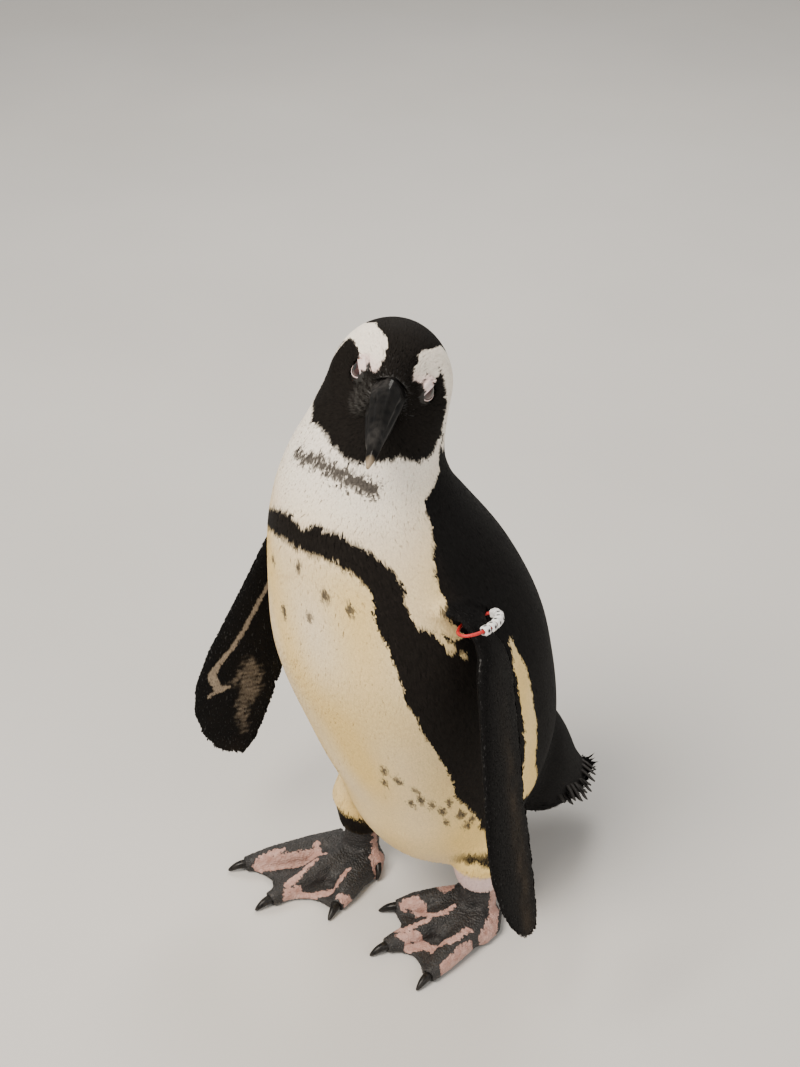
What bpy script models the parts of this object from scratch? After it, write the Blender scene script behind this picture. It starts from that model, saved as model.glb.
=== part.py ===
"""African penguin, life size, as a still museum model: the closed solids of its named parts.

The bird faces -Y, its left side is +X, up is +Z, and its soles are at z = 0. Sizes are in millimetres.
The solids give the outline of the feathered bird, out to the tips of the coat.
"""

import math

import bmesh
import bpy
import numpy as np
from mathutils import Matrix, Vector

MM = 0.001
GAP = 0.3  # clearance between neighbouring solids

# The floor point under the middle of the bird's box, in the frame the sizes below are given in
FLOOR_CENTRE = (27.0, 18.7)

# Trunk sections: height, forward(-)/back(+) place of the centre, half width, half depth
TRUNK = (
    (43.0, 4.0, 10.0, 10.0),
    (48.0, 4.0, 36.0, 28.0),
    (60.0, 5.0, 52.0, 44.0),
    (80.0, 7.0, 63.0, 57.0),
    (105.0, 9.0, 71.0, 67.0),
    (135.0, 8.0, 76.0, 79.0),
    (165.0, 2.0, 80.0, 84.0),
    (200.0, -7.5, 82.0, 87.0),
    (230.0, -15.0, 81.0, 87.0),
    (258.0, -22.0, 76.0, 82.0),
    (288.0, -31.0, 68.0, 74.0),
    (315.0, -41.0, 59.0, 64.0),
    (338.0, -48.0, 50.0, 54.0),
)
# Neck sections: height, sideways place, forward/back place, half width, half depth
NECK = (
    (338.0, 0.0, -48.0, 50.0, 54.0),
    (354.0, -2.2, -46.5, 44.5, 48.5),
    (369.0, -1.2, -42.0, 41.8, 45.0),
    (384.0, 1.0, -37.0, 37.8, 40.5),
    (396.0, 0.5, -32.0, 37.0, 37.0),
    (406.0, 0.0, -28.0, 30.0, 30.0),
    (413.0, 0.0, -26.0, 16.0, 16.0),
)
NECK_CUT = 338.0
RINGS_PER_SPAN = 2
BODY_SIDES = 24

# Head frame: its origin midway between the eyes, then how far it is turned, raised and rolled
EYE_MIDDLE = (16.5, -38.0, 410.0)
HEAD_TURN, HEAD_PITCH, HEAD_ROLL = 46.5, -1.0, 17.0
# Head sections: forward place, top, bottom, half width, sideways place
HEAD = (
    (-51.0, 3.0, -5.0, 4.0, -1.0),
    (-47.0, 11.5, -18.0, 15.0, -1.0),
    (-39.0, 19.0, -28.0, 25.5, -1.0),
    (-29.0, 24.0, -34.0, 32.0, -1.0),
    (-18.0, 26.0, -36.0, 35.0, -0.5),
    (-8.0, 25.0, -35.0, 34.0, -0.3),
    (0.0, 22.0, -32.0, 28.5, 0.6),
    (8.0, 17.8, -28.0, 22.5, 0.3),
    (15.0, 14.0, -22.0, 18.0, 0.0),
    (20.0, 10.5, -16.0, 13.5, 0.0),
    (23.0, 6.0, -11.0, 9.0, 0.0),
)
HEAD_NARROW = 0.05  # how much narrower the head is at its crown
HEAD_JOWL = 0.12  # how much fuller it is low on the cheeks
HEAD_SIDES = 18
# Eyes: the ball, the way it looks, and the hollow in the head that shows it
EYE_RADIUS = 8.2
EYE_PLACE = (1.4, 15.4, 0.0)
EYE_LOOK = (0.30, 0.92, 0.25)
SOCKET_RADIUS = 7.0
SOCKET_OUT = 6.8
RIDGE_NARROW = 0.42  # how much narrower the upper bill is at its ridge
# Upper bill sections: forward place, ridge, cutting edge, half width, sideways place
BILL_UPPER = (
    (12.0, 10.5, -7.0, 9.0, -0.5),
    (22.0, 10.5, -7.0, 9.8, -0.5),
    (34.0, 8.3, -7.4, 8.6, -0.5),
    (47.0, 5.0, -7.0, 6.8, -0.5),
    (58.0, 1.4, -7.2, 5.0, -0.3),
    (66.0, -2.6, -8.8, 3.6, 0.0),
    (71.5, -6.8, -11.6, 2.4, 0.0),
    (74.0, -10.6, -13.6, 1.1, 0.0),
)
# Lower bill sections: forward place, cutting edge, underside, half width, sideways place
BILL_LOWER = (
    (12.0, -7.4, -13.0, 8.4, -0.5),
    (24.0, -7.4, -14.5, 9.0, -0.5),
    (36.0, -7.8, -14.6, 7.6, -0.5),
    (48.0, -7.4, -13.8, 5.7, -0.5),
    (58.0, -7.7, -12.2, 4.1, -0.3),
    (64.0, -9.2, -11.0, 2.6, 0.0),
)
BILL_SIDES = 12

# Flippers: shoulder and tip, the way from the leading to the trailing edge, greatest chord and thickness
FLIPPERS = {
    "left": ((83.0, -24.0, 291.0), (157.6, -48.2, 98.0), (-0.506, 0.862, 0.0)),
    "right": ((-80.0, -36.0, 290.0), (-102.0, -103.0, 98.0), (0.25, 0.96, 0.0)),
}
FLIPPER_CHORD = 58.0
FLIPPER_THICK = 11.0
FLIPPER_EDGE = 1.0
FLIPPER_BROADEST = 0.68  # share of the way down where the chord is greatest
FLIPPER_ELBOW = 0.20  # share over which the trailing edge swells below the band
FLIPPER_SWEEP = 13.5  # how far the tip bends back behind the straight line
FLIPPER_BOW = 3.5  # how far the lower half bends forward of it
ROOT_BEND = 20.0  # how far the top of the flipper turns in to the shoulder
ROOT_SHARE = 0.13
FLIPPER_RINGS = 13
FLIPPER_SIDES = 12

# Tail sections: back place, height, half width, half thickness, all along the way from rump to tips
TAIL = (
    (47.0, 114.0, 45.0, 42.0),
    (73.0, 85.0, 45.0, 41.0),
    (95.5, 63.5, 42.0, 33.0),
    (116.0, 48.5, 36.0, 22.0),
    (137.0, 36.5, 21.5, 10.0),
    (149.0, 29.5, 9.0, 3.5),
    (154.0, 27.0, 3.8, 1.4),
)
TAIL_DROOP = 14.0  # how far its sides hang below its middle
TAIL_SIDES = 14

# Feet: heel on the floor, then the claw tips of the inner, middle and outer toes
FEET = {
    "left": ((50.0, 13.0), ((8.0, -45.5), (38.0, -74.0), (80.5, -67.0)), -1.0),
    "right": ((-42.0, -18.0), ((-4.5, -78.0), (-41.5, -113.0), (-85.5, -107.5)), 1.0),
}
ANKLE_FORWARD = 9.0
TARSUS_TOP = 46.0
CLAW_LONG = 15.0
CLAW_RADIUS = 3.3
TOE_ROOT, TOE_MIDDLE, TOE_END = 9.8, 8.2, 5.8
TOE_SPREAD = 12.0
PAD_SIZE = (27.0, 27.0, 12.0)
PAD_PLACE = (0.0, -9.5, 5.3)  # from the ankle's place on the floor
WEB_THICK = 3.2
WEB_BASE = 1.4
LEG_TOP = 104.0
LEG_END = 37.0

# Flipper band: an elastic loop round the top of the left flipper, with cube beads on the outside
BAND_PLACE = 0.065
BAND_TILT = 4.0
BAND_RADIUS = 1.1
BAND_CLEAR = 3.1
BEAD_SIZE = 5.4
BEAD_HOLE = 2.0
BEADS = 6
BEAD_STEP = 6.2
BEAD_START = 0.022


def clear_scene():
    for thing in list(bpy.data.objects):
        bpy.data.objects.remove(thing, do_unlink=True)


def material(name, colour, rough, metal=0.0):
    made = bpy.data.materials.new(name)
    made.use_nodes = True
    shader = made.node_tree.nodes["Principled BSDF"]
    shader.inputs["Base Color"].default_value = (*colour, 1.0)
    shader.inputs["Roughness"].default_value = rough
    shader.inputs["Metallic"].default_value = metal
    made.diffuse_color = (*colour, 1.0)
    return made


def smooth_stations(rows, spans):
    """Rows eased by a Catmull-Rom curve with the given number of steps between each pair."""
    rows = np.asarray(rows, float)
    ends = np.vstack([2 * rows[0] - rows[1], rows, 2 * rows[-1] - rows[-2]])
    out = []
    for i in range(len(rows) - 1):
        before, here, there, after = ends[i : i + 4]
        for k in range(spans):
            t = k / spans
            out.append(
                0.5
                * (
                    2 * here
                    + (there - before) * t
                    + (2 * before - 5 * here + 4 * there - after) * t**2
                    + (3 * here - before - 3 * there + after) * t**3
                )
            )
    out.append(rows[-1])
    return np.array(out)


def loft(name, rings):
    """A closed mesh through rings of equal point counts, with a flat cap at each end."""
    shape = bmesh.new()
    lines = [[shape.verts.new(Vector(p) * MM) for p in ring] for ring in rings]
    for low, high in zip(lines, lines[1:]):
        for i in range(len(low)):
            j = (i + 1) % len(low)
            shape.faces.new((low[i], low[j], high[j], high[i]))
    shape.faces.new(lines[0][::-1])
    shape.faces.new(lines[-1])
    bmesh.ops.recalc_face_normals(shape, faces=shape.faces)
    mesh = bpy.data.meshes.new(name)
    shape.to_mesh(mesh)
    shape.free()
    made = bpy.data.objects.new(name, mesh)
    bpy.context.scene.collection.objects.link(made)
    return made


def apply(made, modifier):
    bpy.context.view_layer.objects.active = made
    bpy.ops.object.modifier_apply(modifier=modifier.name)


def combine(made, other, operation):
    """Joins or cuts one solid with another, then removes the other."""
    step = made.modifiers.new(operation.title(), "BOOLEAN")
    step.solver = "EXACT"
    step.operation = operation
    step.object = other
    apply(made, step)
    bpy.data.objects.remove(other, do_unlink=True)
    return made


def circle(sides, turn=0.0):
    angles = turn + np.arange(sides) * 2 * math.pi / sides
    return np.cos(angles), np.sin(angles)


def trunk(grow=0.0):
    """The breast, belly, back and rump, in level sections."""
    c, s = circle(BODY_SIDES)
    rings = []
    for z, y, wide, deep in smooth_stations(TRUNK, RINGS_PER_SPAN):
        rings.append(np.stack([c * (wide + grow), y + s * (deep + grow), np.full(BODY_SIDES, z)], 1))
    rings[0][:, 2] -= grow
    rings[-1][:, 2] += grow
    return loft("trunk", rings)


def neck():
    c, s = circle(BODY_SIDES)
    rings = []
    for z, x, y, wide, deep in smooth_stations(NECK, RINGS_PER_SPAN):
        rings.append(np.stack([x + c * wide, y + s * deep, np.full(BODY_SIDES, z)], 1))
    rings[0][:, 2] += GAP
    return loft("neck", rings)


def head_frame():
    """Columns: forward along the bill, to the bird's left, and up; then the place of the middle of the eyes."""
    turn, pitch, roll = (math.radians(v) for v in (HEAD_TURN, HEAD_PITCH, HEAD_ROLL))
    level = math.cos(pitch)
    forward = Vector((math.sin(turn) * level, -math.cos(turn) * level, math.sin(pitch)))
    side = Vector((0, 0, 1)).cross(forward).normalized()
    side = Matrix.Rotation(roll, 3, -forward) @ side
    up = forward.cross(side)
    frame = Matrix((forward, side, up)).transposed().to_4x4()
    return Matrix.Translation(Vector(EYE_MIDDLE) * MM) @ frame


def upright_loft(name, rows, sides, grow=0.0, spans=2, narrow=0.0, jowl=0.0):
    """Sections across the head frame: a top, a bottom and a half width, narrowed above and full below."""
    c, s = circle(sides)
    c = c * (1 - narrow * np.clip(s, 0, 1)) * (1 + jowl * np.sin(np.pi * np.clip(-s, 0, 1)))
    rings = []
    for f, top, low, wide, place in smooth_stations(rows, spans):
        middle, tall = (top + low) / 2, (top - low) / 2
        across, up = place + c * (wide + grow), middle + s * (tall + grow)
        rings.append(np.stack([np.full(sides, f), across, up], 1))
    rings[0][:, 0] -= grow
    rings[-1][:, 0] += grow
    made = loft(name, rings)
    made.data.transform(head_frame())
    return made


def ball(name, radius, place, frame):
    shape = bmesh.new()
    bmesh.ops.create_uvsphere(shape, u_segments=12, v_segments=7, radius=radius * MM)
    mesh = bpy.data.meshes.new(name)
    shape.to_mesh(mesh)
    shape.free()
    mesh.transform(frame @ Matrix.Translation(Vector(place) * MM))
    made = bpy.data.objects.new(name, mesh)
    bpy.context.scene.collection.objects.link(made)
    return made


def head_side(place, side):
    """A place given for the left of the head, on the named side."""
    return (place[0], place[1] if side == "left" else -place[1], place[2])


def eye(side, grow=0.0):
    return ball("eye_" + side, EYE_RADIUS + grow, head_side(EYE_PLACE, side), head_frame())


def socket(side):
    place = np.array(EYE_PLACE) + SOCKET_OUT * np.array(EYE_LOOK)
    return ball("socket_" + side, SOCKET_RADIUS, head_side(place, side), head_frame())


def flipper_axes(side):
    shoulder, tip, across = (np.array(v) for v in FLIPPERS[side])
    span = tip - shoulder
    along = span / np.linalg.norm(span)
    across = across - along * (across @ along)
    across /= np.linalg.norm(across)
    out = np.cross(along, across)
    return shoulder, span, across, out * np.sign(out[0] * shoulder[0])


def flipper_size(t):
    """Chord, thickness and how far back its middle lies, at a share t of the way from shoulder to tip."""
    taper = math.sqrt(max(0.01, 1 - max(0.0, (t - FLIPPER_BROADEST) / 0.335) ** 2.6))
    lead = 0.45 * (0.50 + 0.50 * min(1.0, t / FLIPPER_BROADEST) ** 1.3)
    elbow = min(1.0, max(0.0, (t - BAND_PLACE) / FLIPPER_ELBOW))
    trail = 0.55 * (0.58 + 0.42 * math.sin(elbow * math.pi / 2))
    chord = FLIPPER_CHORD * (lead + trail) * taper
    thick = FLIPPER_THICK * (1 - 0.62 * t) * max(taper, 0.22)
    sweep = FLIPPER_SWEEP * t**9 - FLIPPER_BOW * math.sin(math.pi * t**2.2)
    return chord, thick, sweep + FLIPPER_CHORD * (trail - lead) * taper / 2


def flipper_ring(side, t, grow=0.0):
    """A rounded leading edge, thickest at a third of the chord, thinning to the trailing edge."""
    shoulder, span, across, out = flipper_axes(side)
    chord, thick, back = flipper_size(t)
    c, s = circle(FLIPPER_SIDES)
    thin = np.clip((c + 1) / 2, 0, 1) ** 1.3
    half = (thick * (1 - thin) + FLIPPER_EDGE * thin) / 2
    place = shoulder + span * t - out * ROOT_BEND * max(0.0, 1 - t / ROOT_SHARE) ** 2
    flat = back + c * (chord / 2 + grow)
    return place + np.outer(flat, across) + np.outer(s * (half + grow), out)


def flipper(side):
    shares = 0.504 * (1 - np.cos(np.linspace(0, math.pi, FLIPPER_RINGS)))
    made = loft("flipper_" + side, [flipper_ring(side, t) for t in shares])
    return combine(made, trunk(GAP), "DIFFERENCE")


def tail():
    c, s = circle(TAIL_SIDES)
    rows = smooth_stations(TAIL, 2)
    rings = []
    for i, (y, z, wide, thick) in enumerate(rows):
        a, b = rows[max(i - 1, 0)], rows[min(i + 1, len(rows) - 1)]
        way = np.array([b[0] - a[0], b[1] - a[1]])
        way /= np.linalg.norm(way)
        droop = TAIL_DROOP * min(1.0, i / 3, wide / 24) * c**2
        rings.append(np.stack([c * wide, y - s * thick * way[1], z + s * thick * way[0] - droop], 1))
    return combine(loft("tail", rings), trunk(GAP), "DIFFERENCE")


def tube(name, path, radii, sides=10):
    """A round tube through the points of a path, with its own radius at each."""
    path = np.asarray(path, float)
    rings = []
    for i, (place, radius) in enumerate(zip(path, radii)):
        way = path[min(i + 1, len(path) - 1)] - path[max(i - 1, 0)]
        way /= np.linalg.norm(way)
        first = np.cross(way, (0, 0, 1) if abs(way[2]) < 0.8 else (0, 1, 0))
        first /= np.linalg.norm(first)
        second = np.cross(way, first)
        c, s = circle(sides, math.pi / sides)
        rings.append(place + radius * (np.outer(c, first) + np.outer(s, second)))
    return loft(name, rings)


def foot_points(side):
    heel, tips, inward = FEET[side]
    heel = np.array([*heel, 0.0])
    return heel, [np.array([*tip, 0.0]) for tip in tips], inward


def claw_path(root, tip, drop):
    """From inside the toe over a small arch down to the point."""
    way = (tip - root) / np.linalg.norm(tip - root)
    start = tip - way * (CLAW_LONG + 3)
    return [start + (0, 0, drop), tip - way * CLAW_LONG * 0.55 + (0, 0, drop + 0.3), tip + (0, 0, 1.4)]


def claw(name, root, tip, drop, grow=0.0):
    radii = (CLAW_RADIUS + grow, CLAW_RADIUS * 0.78 + grow, 0.7 + grow)
    return tube(name, claw_path(root, tip, drop), radii, 10)


def hallux_points(heel, inward):
    root = heel + (inward * 10, -6, 15)
    end = heel + (inward * 21, -6, 10)
    return root, end, heel + (inward * 26, -12, 2.2)


def hallux_claw(name, heel, inward, grow=0.0):
    _, end, tip = hallux_points(heel, inward)
    middle = (end + tip) / 2 + (inward * 0.9, 0, 0.9)
    path = [end - (inward * 1.6, 0, -0.8), middle, tip]
    return tube(name, path, (2.4 + grow, 2.0 + grow, 0.7 + grow), 10)


def toe_roots(heel, inward):
    """Where the inner, middle and outer toes leave the foot."""
    ankle = heel + (0, -ANKLE_FORWARD, 0)
    return [ankle + (inward * TOE_SPREAD, -3, 0), ankle, ankle + (-inward * TOE_SPREAD, -3, 0)]


def web(heel, tips, inward):
    """A plate between the toes whose front edge sags between them."""
    root = heel + (0, -ANKLE_FORWARD, 0)
    shares = (0.85, 0.88, 0.87)
    ends = [root + (tip - root) * share for tip, share in zip(tips, shares)]
    edge = []
    for a, b in zip(ends, ends[1:]):
        for t in np.linspace(0, 1, 7)[: 6 if b is ends[1] else 7]:
            sag = 1 - 0.15 * math.sin(t * math.pi)
            edge.append(root + (a * (1 - t) + b * t - root) * sag)
    back = [root + (-inward * TOE_SPREAD, 4, 0), root + (inward * TOE_SPREAD, 4, 0)]
    outline = np.array(edge + back)
    low, high = outline + (0, 0, WEB_BASE), outline + (0, 0, WEB_BASE + WEB_THICK)
    return loft("web", [low, high])


def foot(side):
    heel, tips, inward = foot_points(side)
    ankle = heel + (0, -ANKLE_FORWARD, 0)
    made = tube(
        "foot_" + side,
        [heel + (0, -2, 3), ankle + (0, 2, 13), ankle + (0, 4, 30), ankle + (0, 6, TARSUS_TOP)],
        (9.5, 13.0, 12.0, 12.5),
        14,
    )
    for root, tip in zip(toe_roots(heel, inward), tips):
        way = (tip - root) / np.linalg.norm(tip - root)
        end = tip - way * (CLAW_LONG - 3)
        path = [root + (0, 0, 9), root + (end - root) * 0.36 + (0, 0, 8.0)]
        path += [root + (end - root) * 0.72 + (0, 0, 6.4)]
        path += [end - way * 3 + (0, 0, 4.8), end + (0, 0, 4.4)]
        radii = (10.5, TOE_ROOT, TOE_MIDDLE, TOE_END, TOE_END * 0.93)
        made = combine(made, tube("toe", path, radii), "UNION")
    middle = Matrix.Translation(Vector(ankle + PAD_PLACE) * MM)
    pad = ball("pad", 1.0, (0, 0, 0), middle @ Matrix.Diagonal((*PAD_SIZE, 1)))
    made = combine(made, pad, "UNION")
    root, end, _ = hallux_points(heel, inward)
    hallux = tube("hallux", [root - (inward * 4, 0, 0), root, end], (5.2, 5.2, 4.2), 10)
    made = combine(made, hallux, "UNION")
    made = combine(made, web(heel, tips, inward), "UNION")
    below = loft("below", [[(x, y, z) for x, y in square(200, heel)] for z in (-40.0, 0.0)])
    made = combine(made, below, "DIFFERENCE")
    for root, tip in zip(toe_roots(heel, inward), tips):
        made = combine(made, claw("claw", root, tip, 4.4, GAP), "DIFFERENCE")
    return combine(made, hallux_claw("claw", heel, inward, GAP), "DIFFERENCE")


def square(size, place):
    return [(place[0] + a * size, place[1] + b * size) for a, b in ((-1, -1), (1, -1), (1, 1), (-1, 1))]


def claws(side):
    heel, tips, inward = foot_points(side)
    toes = zip(("inner", "middle", "outer"), toe_roots(heel, inward), tips)
    made = [claw(f"claw_{toe}_{side}", root, tip, 4.4) for toe, root, tip in toes]
    return made + [hallux_claw("claw_hind_" + side, heel, inward)]


def leg(side):
    """The feathered upper leg, from inside the trunk to just above the scaly shank."""
    heel, _, inward = foot_points(side)
    place = heel + (0, -ANKLE_FORWARD, 0)
    hip = np.array([place[0] * 0.70, place[1] * 0.5 + 4, LEG_TOP])
    thigh = (hip * 0.55 + place * 0.45) * (1, 1, 0) + (0, 5, 78)
    path = [hip, thigh, place + (0, 5, 56), place + (0, 4.5, LEG_END)]
    made = tube("leg_" + side, path, (26.0, 26.0, 22.0, 16.5), 18)
    made = combine(made, trunk(GAP), "DIFFERENCE")
    path = [place + (0, 2, 13), place + (0, 4, 30), place + (0, 6, TARSUS_TOP)]
    return combine(made, tube("shank", path, (13.3, 12.3, 12.8), 14), "DIFFERENCE")


def band_loop(count):
    """Points round the left flipper, a clearance outside it, in a plane tilted from its section."""
    shoulder, span, across, out = flipper_axes("left")
    chord, thick, back = flipper_size(BAND_PLACE)
    slope = math.tan(math.radians(BAND_TILT))
    angles = np.linspace(0, 2 * math.pi, count, endpoint=False)
    wide, deep = chord / 2 + BAND_CLEAR, thick / 2 + BAND_CLEAR + 1.6
    flat = np.cos(angles) * wide
    place = shoulder + span * BAND_PLACE + across * back
    place = place - out * ROOT_BEND * max(0.0, 1 - BAND_PLACE / ROOT_SHARE) ** 2
    along = span / np.linalg.norm(span)
    place = place + np.outer(flat, across) + np.outer(np.sin(angles) * deep, out)
    return place - np.outer(flat * slope, along)


def band(grow=0.0):
    """The elastic, a ring of round section."""
    path = band_loop(26)
    ring_of = []
    c, s = circle(8)
    for i, place in enumerate(path):
        way = path[(i + 1) % len(path)] - path[i - 1]
        way /= np.linalg.norm(way)
        first = np.cross(way, (0.3, 0.5, 0.8))
        first /= np.linalg.norm(first)
        second = np.cross(way, first)
        ring_of.append(place + (BAND_RADIUS + grow) * (np.outer(c, first) + np.outer(s, second)))
    shape = bmesh.new()
    lines = [[shape.verts.new(Vector(p) * MM) for p in ring] for ring in ring_of]
    for low, high in zip(lines, lines[1:] + lines[:1]):
        for i in range(len(low)):
            j = (i + 1) % len(low)
            shape.faces.new((low[i], low[j], high[j], high[i]))
    bmesh.ops.recalc_face_normals(shape, faces=shape.faces)
    mesh = bpy.data.meshes.new("band_elastic")
    shape.to_mesh(mesh)
    shape.free()
    made = bpy.data.objects.new("band_elastic", mesh)
    bpy.context.scene.collection.objects.link(made)
    return made


def bead_places():
    """Where each bead's middle is, and the way of the elastic through it."""
    path = band_loop(720)
    steps = np.linalg.norm(np.diff(path, axis=0), axis=1)
    along = np.concatenate([[0], np.cumsum(steps)])
    total = along[-1]
    found = []
    for k in range(BEADS):
        here = BEAD_START * total + k * BEAD_STEP
        i = int(np.searchsorted(along, here))
        way = path[(i + 4) % 720] - path[i - 4]
        found.append((path[i], way / np.linalg.norm(way)))
    return found


def bead(index):
    place, way = bead_places()[index]
    _, _, _, out = flipper_axes("left")
    lift = out - way * (out @ way)
    lift /= np.linalg.norm(lift)
    third = np.cross(way, lift)
    shape = bmesh.new()
    bmesh.ops.create_cube(shape, size=BEAD_SIZE * MM)
    bmesh.ops.bevel(
        shape,
        geom=shape.edges[:],
        offset=1.1 * MM,
        segments=1,
        profile=0.6,
        affect="EDGES",
        clamp_overlap=True,
    )
    mesh = bpy.data.meshes.new("bead")
    shape.to_mesh(mesh)
    shape.free()
    frame = Matrix((Vector(third), Vector(way), Vector(lift))).transposed().to_4x4()
    mesh.transform(Matrix.Translation(Vector(place) * MM) @ frame)
    made = bpy.data.objects.new(f"bead_{index + 1}", mesh)
    bpy.context.scene.collection.objects.link(made)
    hole = tube("hole", [place - way * 6, place + way * 6], (BEAD_HOLE,) * 2, 8)
    return combine(made, hole, "DIFFERENCE")


def finish(parts, look):
    for made in parts:
        made.data.materials.clear()
        made.data.materials.append(look)
        for face in made.data.polygons:
            face.use_smooth = True
        made.data.set_sharp_from_angle(angle=math.radians(35))


def main():
    clear_scene()
    head = upright_loft("head", HEAD, HEAD_SIDES, narrow=HEAD_NARROW, jowl=HEAD_JOWL)
    for side in ("left", "right"):
        head = combine(head, eye(side, GAP), "DIFFERENCE")
        head = combine(head, socket(side), "DIFFERENCE")
    upper = upright_loft("bill", BILL_UPPER, BILL_SIDES, GAP, narrow=RIDGE_NARROW)
    lower = upright_loft("bill", BILL_LOWER, BILL_SIDES, GAP)
    head = combine(combine(head, upper, "DIFFERENCE"), lower, "DIFFERENCE")
    hollow = upright_loft("head", HEAD, HEAD_SIDES, GAP, narrow=HEAD_NARROW, jowl=HEAD_JOWL)
    upper_neck = combine(neck(), hollow, "DIFFERENCE")
    body = combine(trunk(), band(GAP), "DIFFERENCE")
    banded = combine(flipper("left"), band(GAP), "DIFFERENCE")
    plumage = [head, upper_neck, body, tail(), banded, flipper("right"), leg("left"), leg("right")]
    bills = [upright_loft("bill_upper", BILL_UPPER, BILL_SIDES, narrow=RIDGE_NARROW)]
    bills.append(upright_loft("bill_lower", BILL_LOWER, BILL_SIDES))
    eyes = [eye("left"), eye("right")]
    feet = [foot("left"), foot("right")]
    finish(plumage[:2], material("head_plumage", (0.03, 0.028, 0.026), 0.75))
    finish(plumage[2:3], material("body_plumage", (0.78, 0.74, 0.66), 0.8))
    finish(plumage[3:6], material("dark_plumage", (0.03, 0.028, 0.026), 0.75))
    finish(plumage[6:], material("leg_plumage", (0.78, 0.74, 0.66), 0.8))
    finish(bills, material("bill_horn", (0.04, 0.04, 0.042), 0.35))
    finish(eyes, material("eye", (0.06, 0.025, 0.015), 0.08))
    finish(feet, material("foot_skin", (0.10, 0.085, 0.085), 0.6))
    finish(claws("left") + claws("right"), material("claw_horn", (0.03, 0.028, 0.027), 0.4))
    finish([band()], material("band_elastic", (0.62, 0.03, 0.03), 0.6))
    finish([bead(i) for i in range(BEADS)], material("bead_plastic", (0.86, 0.86, 0.83), 0.25))
    shift = Matrix.Translation(Vector((-FLOOR_CENTRE[0], -FLOOR_CENTRE[1], 0.0)) * MM)
    for made in bpy.data.objects:
        made.data.transform(shift)


main()
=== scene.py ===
"""African penguin, life size, as a still museum model: its skin, coat, bill, eyes, feet and flipper band.

The bird faces -Y, its left side is +X and up is +Z. Lengths below are in millimetres and angles in degrees;
put_mesh turns them into metres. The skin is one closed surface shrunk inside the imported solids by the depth
of the coat, and the coat is thousands of small solid vanes rooted on it.
"""

import bpy
import numpy as np
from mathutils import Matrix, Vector


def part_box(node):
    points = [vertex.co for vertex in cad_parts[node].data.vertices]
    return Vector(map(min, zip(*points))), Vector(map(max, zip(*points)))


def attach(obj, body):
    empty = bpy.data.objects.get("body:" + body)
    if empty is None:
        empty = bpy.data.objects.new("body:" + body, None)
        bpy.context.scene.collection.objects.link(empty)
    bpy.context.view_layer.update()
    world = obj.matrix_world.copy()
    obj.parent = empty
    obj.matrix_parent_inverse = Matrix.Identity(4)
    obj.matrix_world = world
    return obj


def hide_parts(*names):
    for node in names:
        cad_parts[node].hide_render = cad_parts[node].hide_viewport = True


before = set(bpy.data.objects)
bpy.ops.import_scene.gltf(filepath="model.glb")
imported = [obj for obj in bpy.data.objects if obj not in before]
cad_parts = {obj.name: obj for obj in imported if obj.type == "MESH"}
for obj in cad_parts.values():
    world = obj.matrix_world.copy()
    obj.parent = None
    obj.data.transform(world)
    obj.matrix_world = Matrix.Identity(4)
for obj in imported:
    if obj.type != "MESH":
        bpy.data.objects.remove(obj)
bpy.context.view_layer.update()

MM = 0.001
SIDES = {"left": 1.0, "right": -1.0}


def table(*rows):
    return np.array(rows, float)


# The body's middle line from the vent up to the crown: sideways, back, height
SPINE = table(
    (-27.0, -14.7, 43.0), (-27.0, -9.7, 105.0), (-27.0, -16.7, 165.0), (-27.0, -33.7, 230.0),
    (-27.0, -49.7, 288.0), (-27.0, -66.7, 338.0), (-26.5, -60.2, 369.0), (-25.5, -49.7, 396.0),
    (-27.0, -43.7, 413.0),
)
# How far the head is turned to its left and raised; its roll comes from the eyes
HEAD_TURN, HEAD_PITCH = np.radians(46.5), np.radians(-1.0)
EYE_FORWARD = 1.4
EYE_LOOK = (0.30, 0.92, 0.25)
# Flippers: shoulder, tip, and the way from the leading to the trailing edge
FLIPPERS = {
    "left": ((56.0, -42.7, 291.0), (130.6, -66.9, 98.0), (-0.506, 0.862, 0.0)),
    "right": ((-107.0, -54.7, 290.0), (-129.0, -121.7, 98.0), (0.25, 0.96, 0.0)),
}
TAIL_ROOT, TAIL_TIP = np.array((-27.0, 28.3, 114.0)), np.array((-27.0, 135.3, 27.0))
# The tail's outline: place back, height of its middle line, half width
TAIL_EDGE = table(
    (28, 114, 45), (54, 85, 45), (77, 63.5, 42), (97, 48.5, 36), (118, 36.5, 21.5), (130, 29.5, 9),
    (135, 27, 2),
)

# Coat by region: depth over the skin, vane length, vane width, vanes per square millimetre
COAT = {
    "trunk": (1.7, 8.0, 1.65, 0.85),
    "neck": (1.4, 5.4, 1.45, 1.0),
    "head": (1.2, 2.7, 0.85, 1.75),
    "tail": (2.0, 6.5, 1.6, 0.80),
    "leg_left": (1.6, 6.0, 1.2, 0.90),
    "leg_right": (1.6, 6.0, 1.2, 0.90),
    "flipper_left": (0.55, 2.5, 1.0, 1.30),
    "flipper_right": (0.55, 2.5, 1.0, 1.30),
    "foot_left": (0.4, 3.0, 1.0, 0.0),
    "foot_right": (0.4, 3.0, 1.0, 0.0),
}
DEPTH, LENGTH, WIDTH, DENSITY = range(4)
FLESH = tuple(COAT)
VOXEL = 1.35  # the faces of the wrapped flesh
SKIN_FACES = 185000
GROW = 0.3  # closes the cuts between the solids
# Rounds of smoothing: the whole skin, the body, body and limbs, the flippers, and the coat's depth
ALL_ROUNDS, BODY_ROUNDS, LIMB_ROUNDS, FLIPPER_ROUNDS, DEPTH_ROUNDS = 2, 110, 14, 16, 3
SHARE_ROUNDS = 24
MOSTLY = 0.4  # a point that belongs to a flipper by more than this share is on it
PATCH = 0.003  # how much of the unwrap each vane covers
ARCH = 0.02  # how far a vane's sides drop, by its width
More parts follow.
